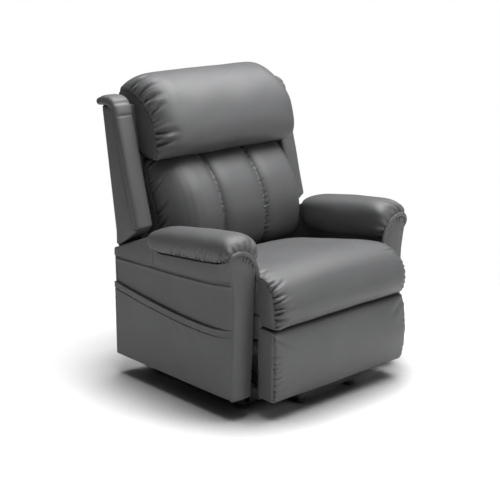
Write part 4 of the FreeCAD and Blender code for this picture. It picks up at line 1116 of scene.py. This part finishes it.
def on_both(name, *line):
    """A line of x, y and z laid on a piece, or on the two sides' own where the name ends in _, and its mirror."""
    line = np.column_stack(np.broadcast_arrays(*line))
    return [laid_on(name + end if name.endswith("_") else name, line * (side, 1, 1)) for side, end in SIDES]


def sew():
    """Topstitching beside the seams that show it."""
    y = np.linspace(-290.0, 308.0, 240)
    hem = line_z(HEM, y)
    stitching("carriage", on_both("arm_pocket_sheet_", 412.0, y, hem - 21.0)
              + on_both("arm_pocket_sheet_", 412.0, y, hem - 26.0)
              + on_both("arm_side_cover_", 407.0, y, line_z(UPPER_SEAM, y) + 6.5))

    inwards = [(0.9, -0.4), (1, 0), (1, 0), (1, 0.2), (0.9, 0.4), (0.6, 0.8), (0.3, 0.95)]
    gusset = through([(y + 9.0 * a, z - 9.0 * b) for (y, z), (a, b) in zip(HEAD_SEAM[2:9], inwards)], 150)
    back = [laid_on("headrest_bolster", at_x(gusset, side * half)) for side, half in HEAD_ENDS.items()]
    z = np.linspace(486.0, 936.0, 150)
    for x in (-256.0, -244.0, 244.0, 256.0):
        back.append(laid_on("rear_leather_panel", np.column_stack([np.full(len(z), x), rear_line(z), z])))
    z = np.linspace(560.0, 905.0, 130)
    stitching("back", back + on_both("wing_side_", 401.0, front_line(z) + STRIP + 3.0, z))
    stitching("legrest", on_both("legrest_cover", PANEL_HALF + 3.0, PANEL_FRONT + 12.0, np.linspace(72.0, 296.0, 90)))


finish_frame_nodes()
for make in (headrest, back_cushion, gap_linings, seat_cushion, seat_box_covers, legrest_pad, arm_side, arm_pocket,
             arm_rear, arm_inside, arm_front, arm_band, arm_rolls, wing_sides, wing_strips, rear_panel, sew):
    make()


# ---------------------------------------------------------------- floor and light
def white_beyond(s, floor_with_painted_shadow, near, far):
    """The floor's lit shading and painted contact shadow near the object, and plain white beyond it for the camera.
    """
    where = s.node("ShaderNodeTexCoord", output="Object")
    away = s.node("ShaderNodeVectorMath", {"operation": "LENGTH"}, {0: where}, output="Value")
    seen = s.node("ShaderNodeLightPath", output="Is Camera Ray")
    white = s.node("ShaderNodeEmission", {}, {"Color": (1, 1, 1, 1), "Strength": 1.0})
    return s.node("ShaderNodeMixShader", {}, {0: away.between(near, far) * seen, 1: floor_with_painted_shadow, 2: white})


def set_the_stage():
    reach = 60.0
    mesh = bpy.data.meshes.new("studio_floor")
    mesh.from_pydata([(-reach, -reach, 0), (reach, -reach, 0), (reach, reach, 0), (-reach, reach, 0)], [],
                     [(0, 1, 2, 3)])
    s = Shader("white_floor")
    # Ambient occlusion mixes the floor from near-black to pale: a painted contact shadow under and around the chair.
    painted_contact_shade = s.node("ShaderNodeAmbientOcclusion", {"samples": 12}, {"Distance": 0.24}, output=1)
    painted_shadow_tone = s.node("ShaderNodeBsdfDiffuse", {}, {"Color": grey(0.01)})
    pale = s.node("ShaderNodeBsdfDiffuse", {}, {"Color": grey(0.93)})
    floor_with_painted_shadow = s.node("ShaderNodeMixShader", {}, {0: painted_contact_shade ** 1.4, 1: painted_shadow_tone, 2: pale})
    s.node("ShaderNodeOutputMaterial", {}, {"Surface": white_beyond(s, floor_with_painted_shadow, 0.75, 1.5)})
    mesh.materials.append(s.material)
    placed("studio_floor", mesh)

    bpy.context.scene.world = bpy.data.worlds.new("studio")
    s = Shader("studio", bpy.context.scene.world)
    seen = s.node("ShaderNodeLightPath", output="Is Camera Ray")
    dim = s.node("ShaderNodeBackground", {}, {"Color": grey(1.0), "Strength": 0.13})
    white = s.node("ShaderNodeBackground", {}, {"Color": grey(1.0), "Strength": 1.0})
    sky = s.node("ShaderNodeMixShader", {}, {0: seen, 1: dim, 2: white})
    s.node("ShaderNodeOutputWorld", {}, {"Surface": sky})

    for name, at, aim, size, power in (
            ("overhead_softbox", (0.45, -0.2, 3.1), (0.0, 0.05, 0.5), 2.8, 215.0),
            ("front_softbox", (1.9, -3.4, 1.7), (0.0, 0.0, 0.5), 1.8, 27.0)):
        light = bpy.data.lights.new(name, "AREA")
        light.size, light.energy = size, power
        lamp = placed(name, light)
        lamp.location = at
        face_along(lamp, Vector(aim) - Vector(at))


set_the_stage()
bpy.context.scene.view_settings.view_transform = "Standard"
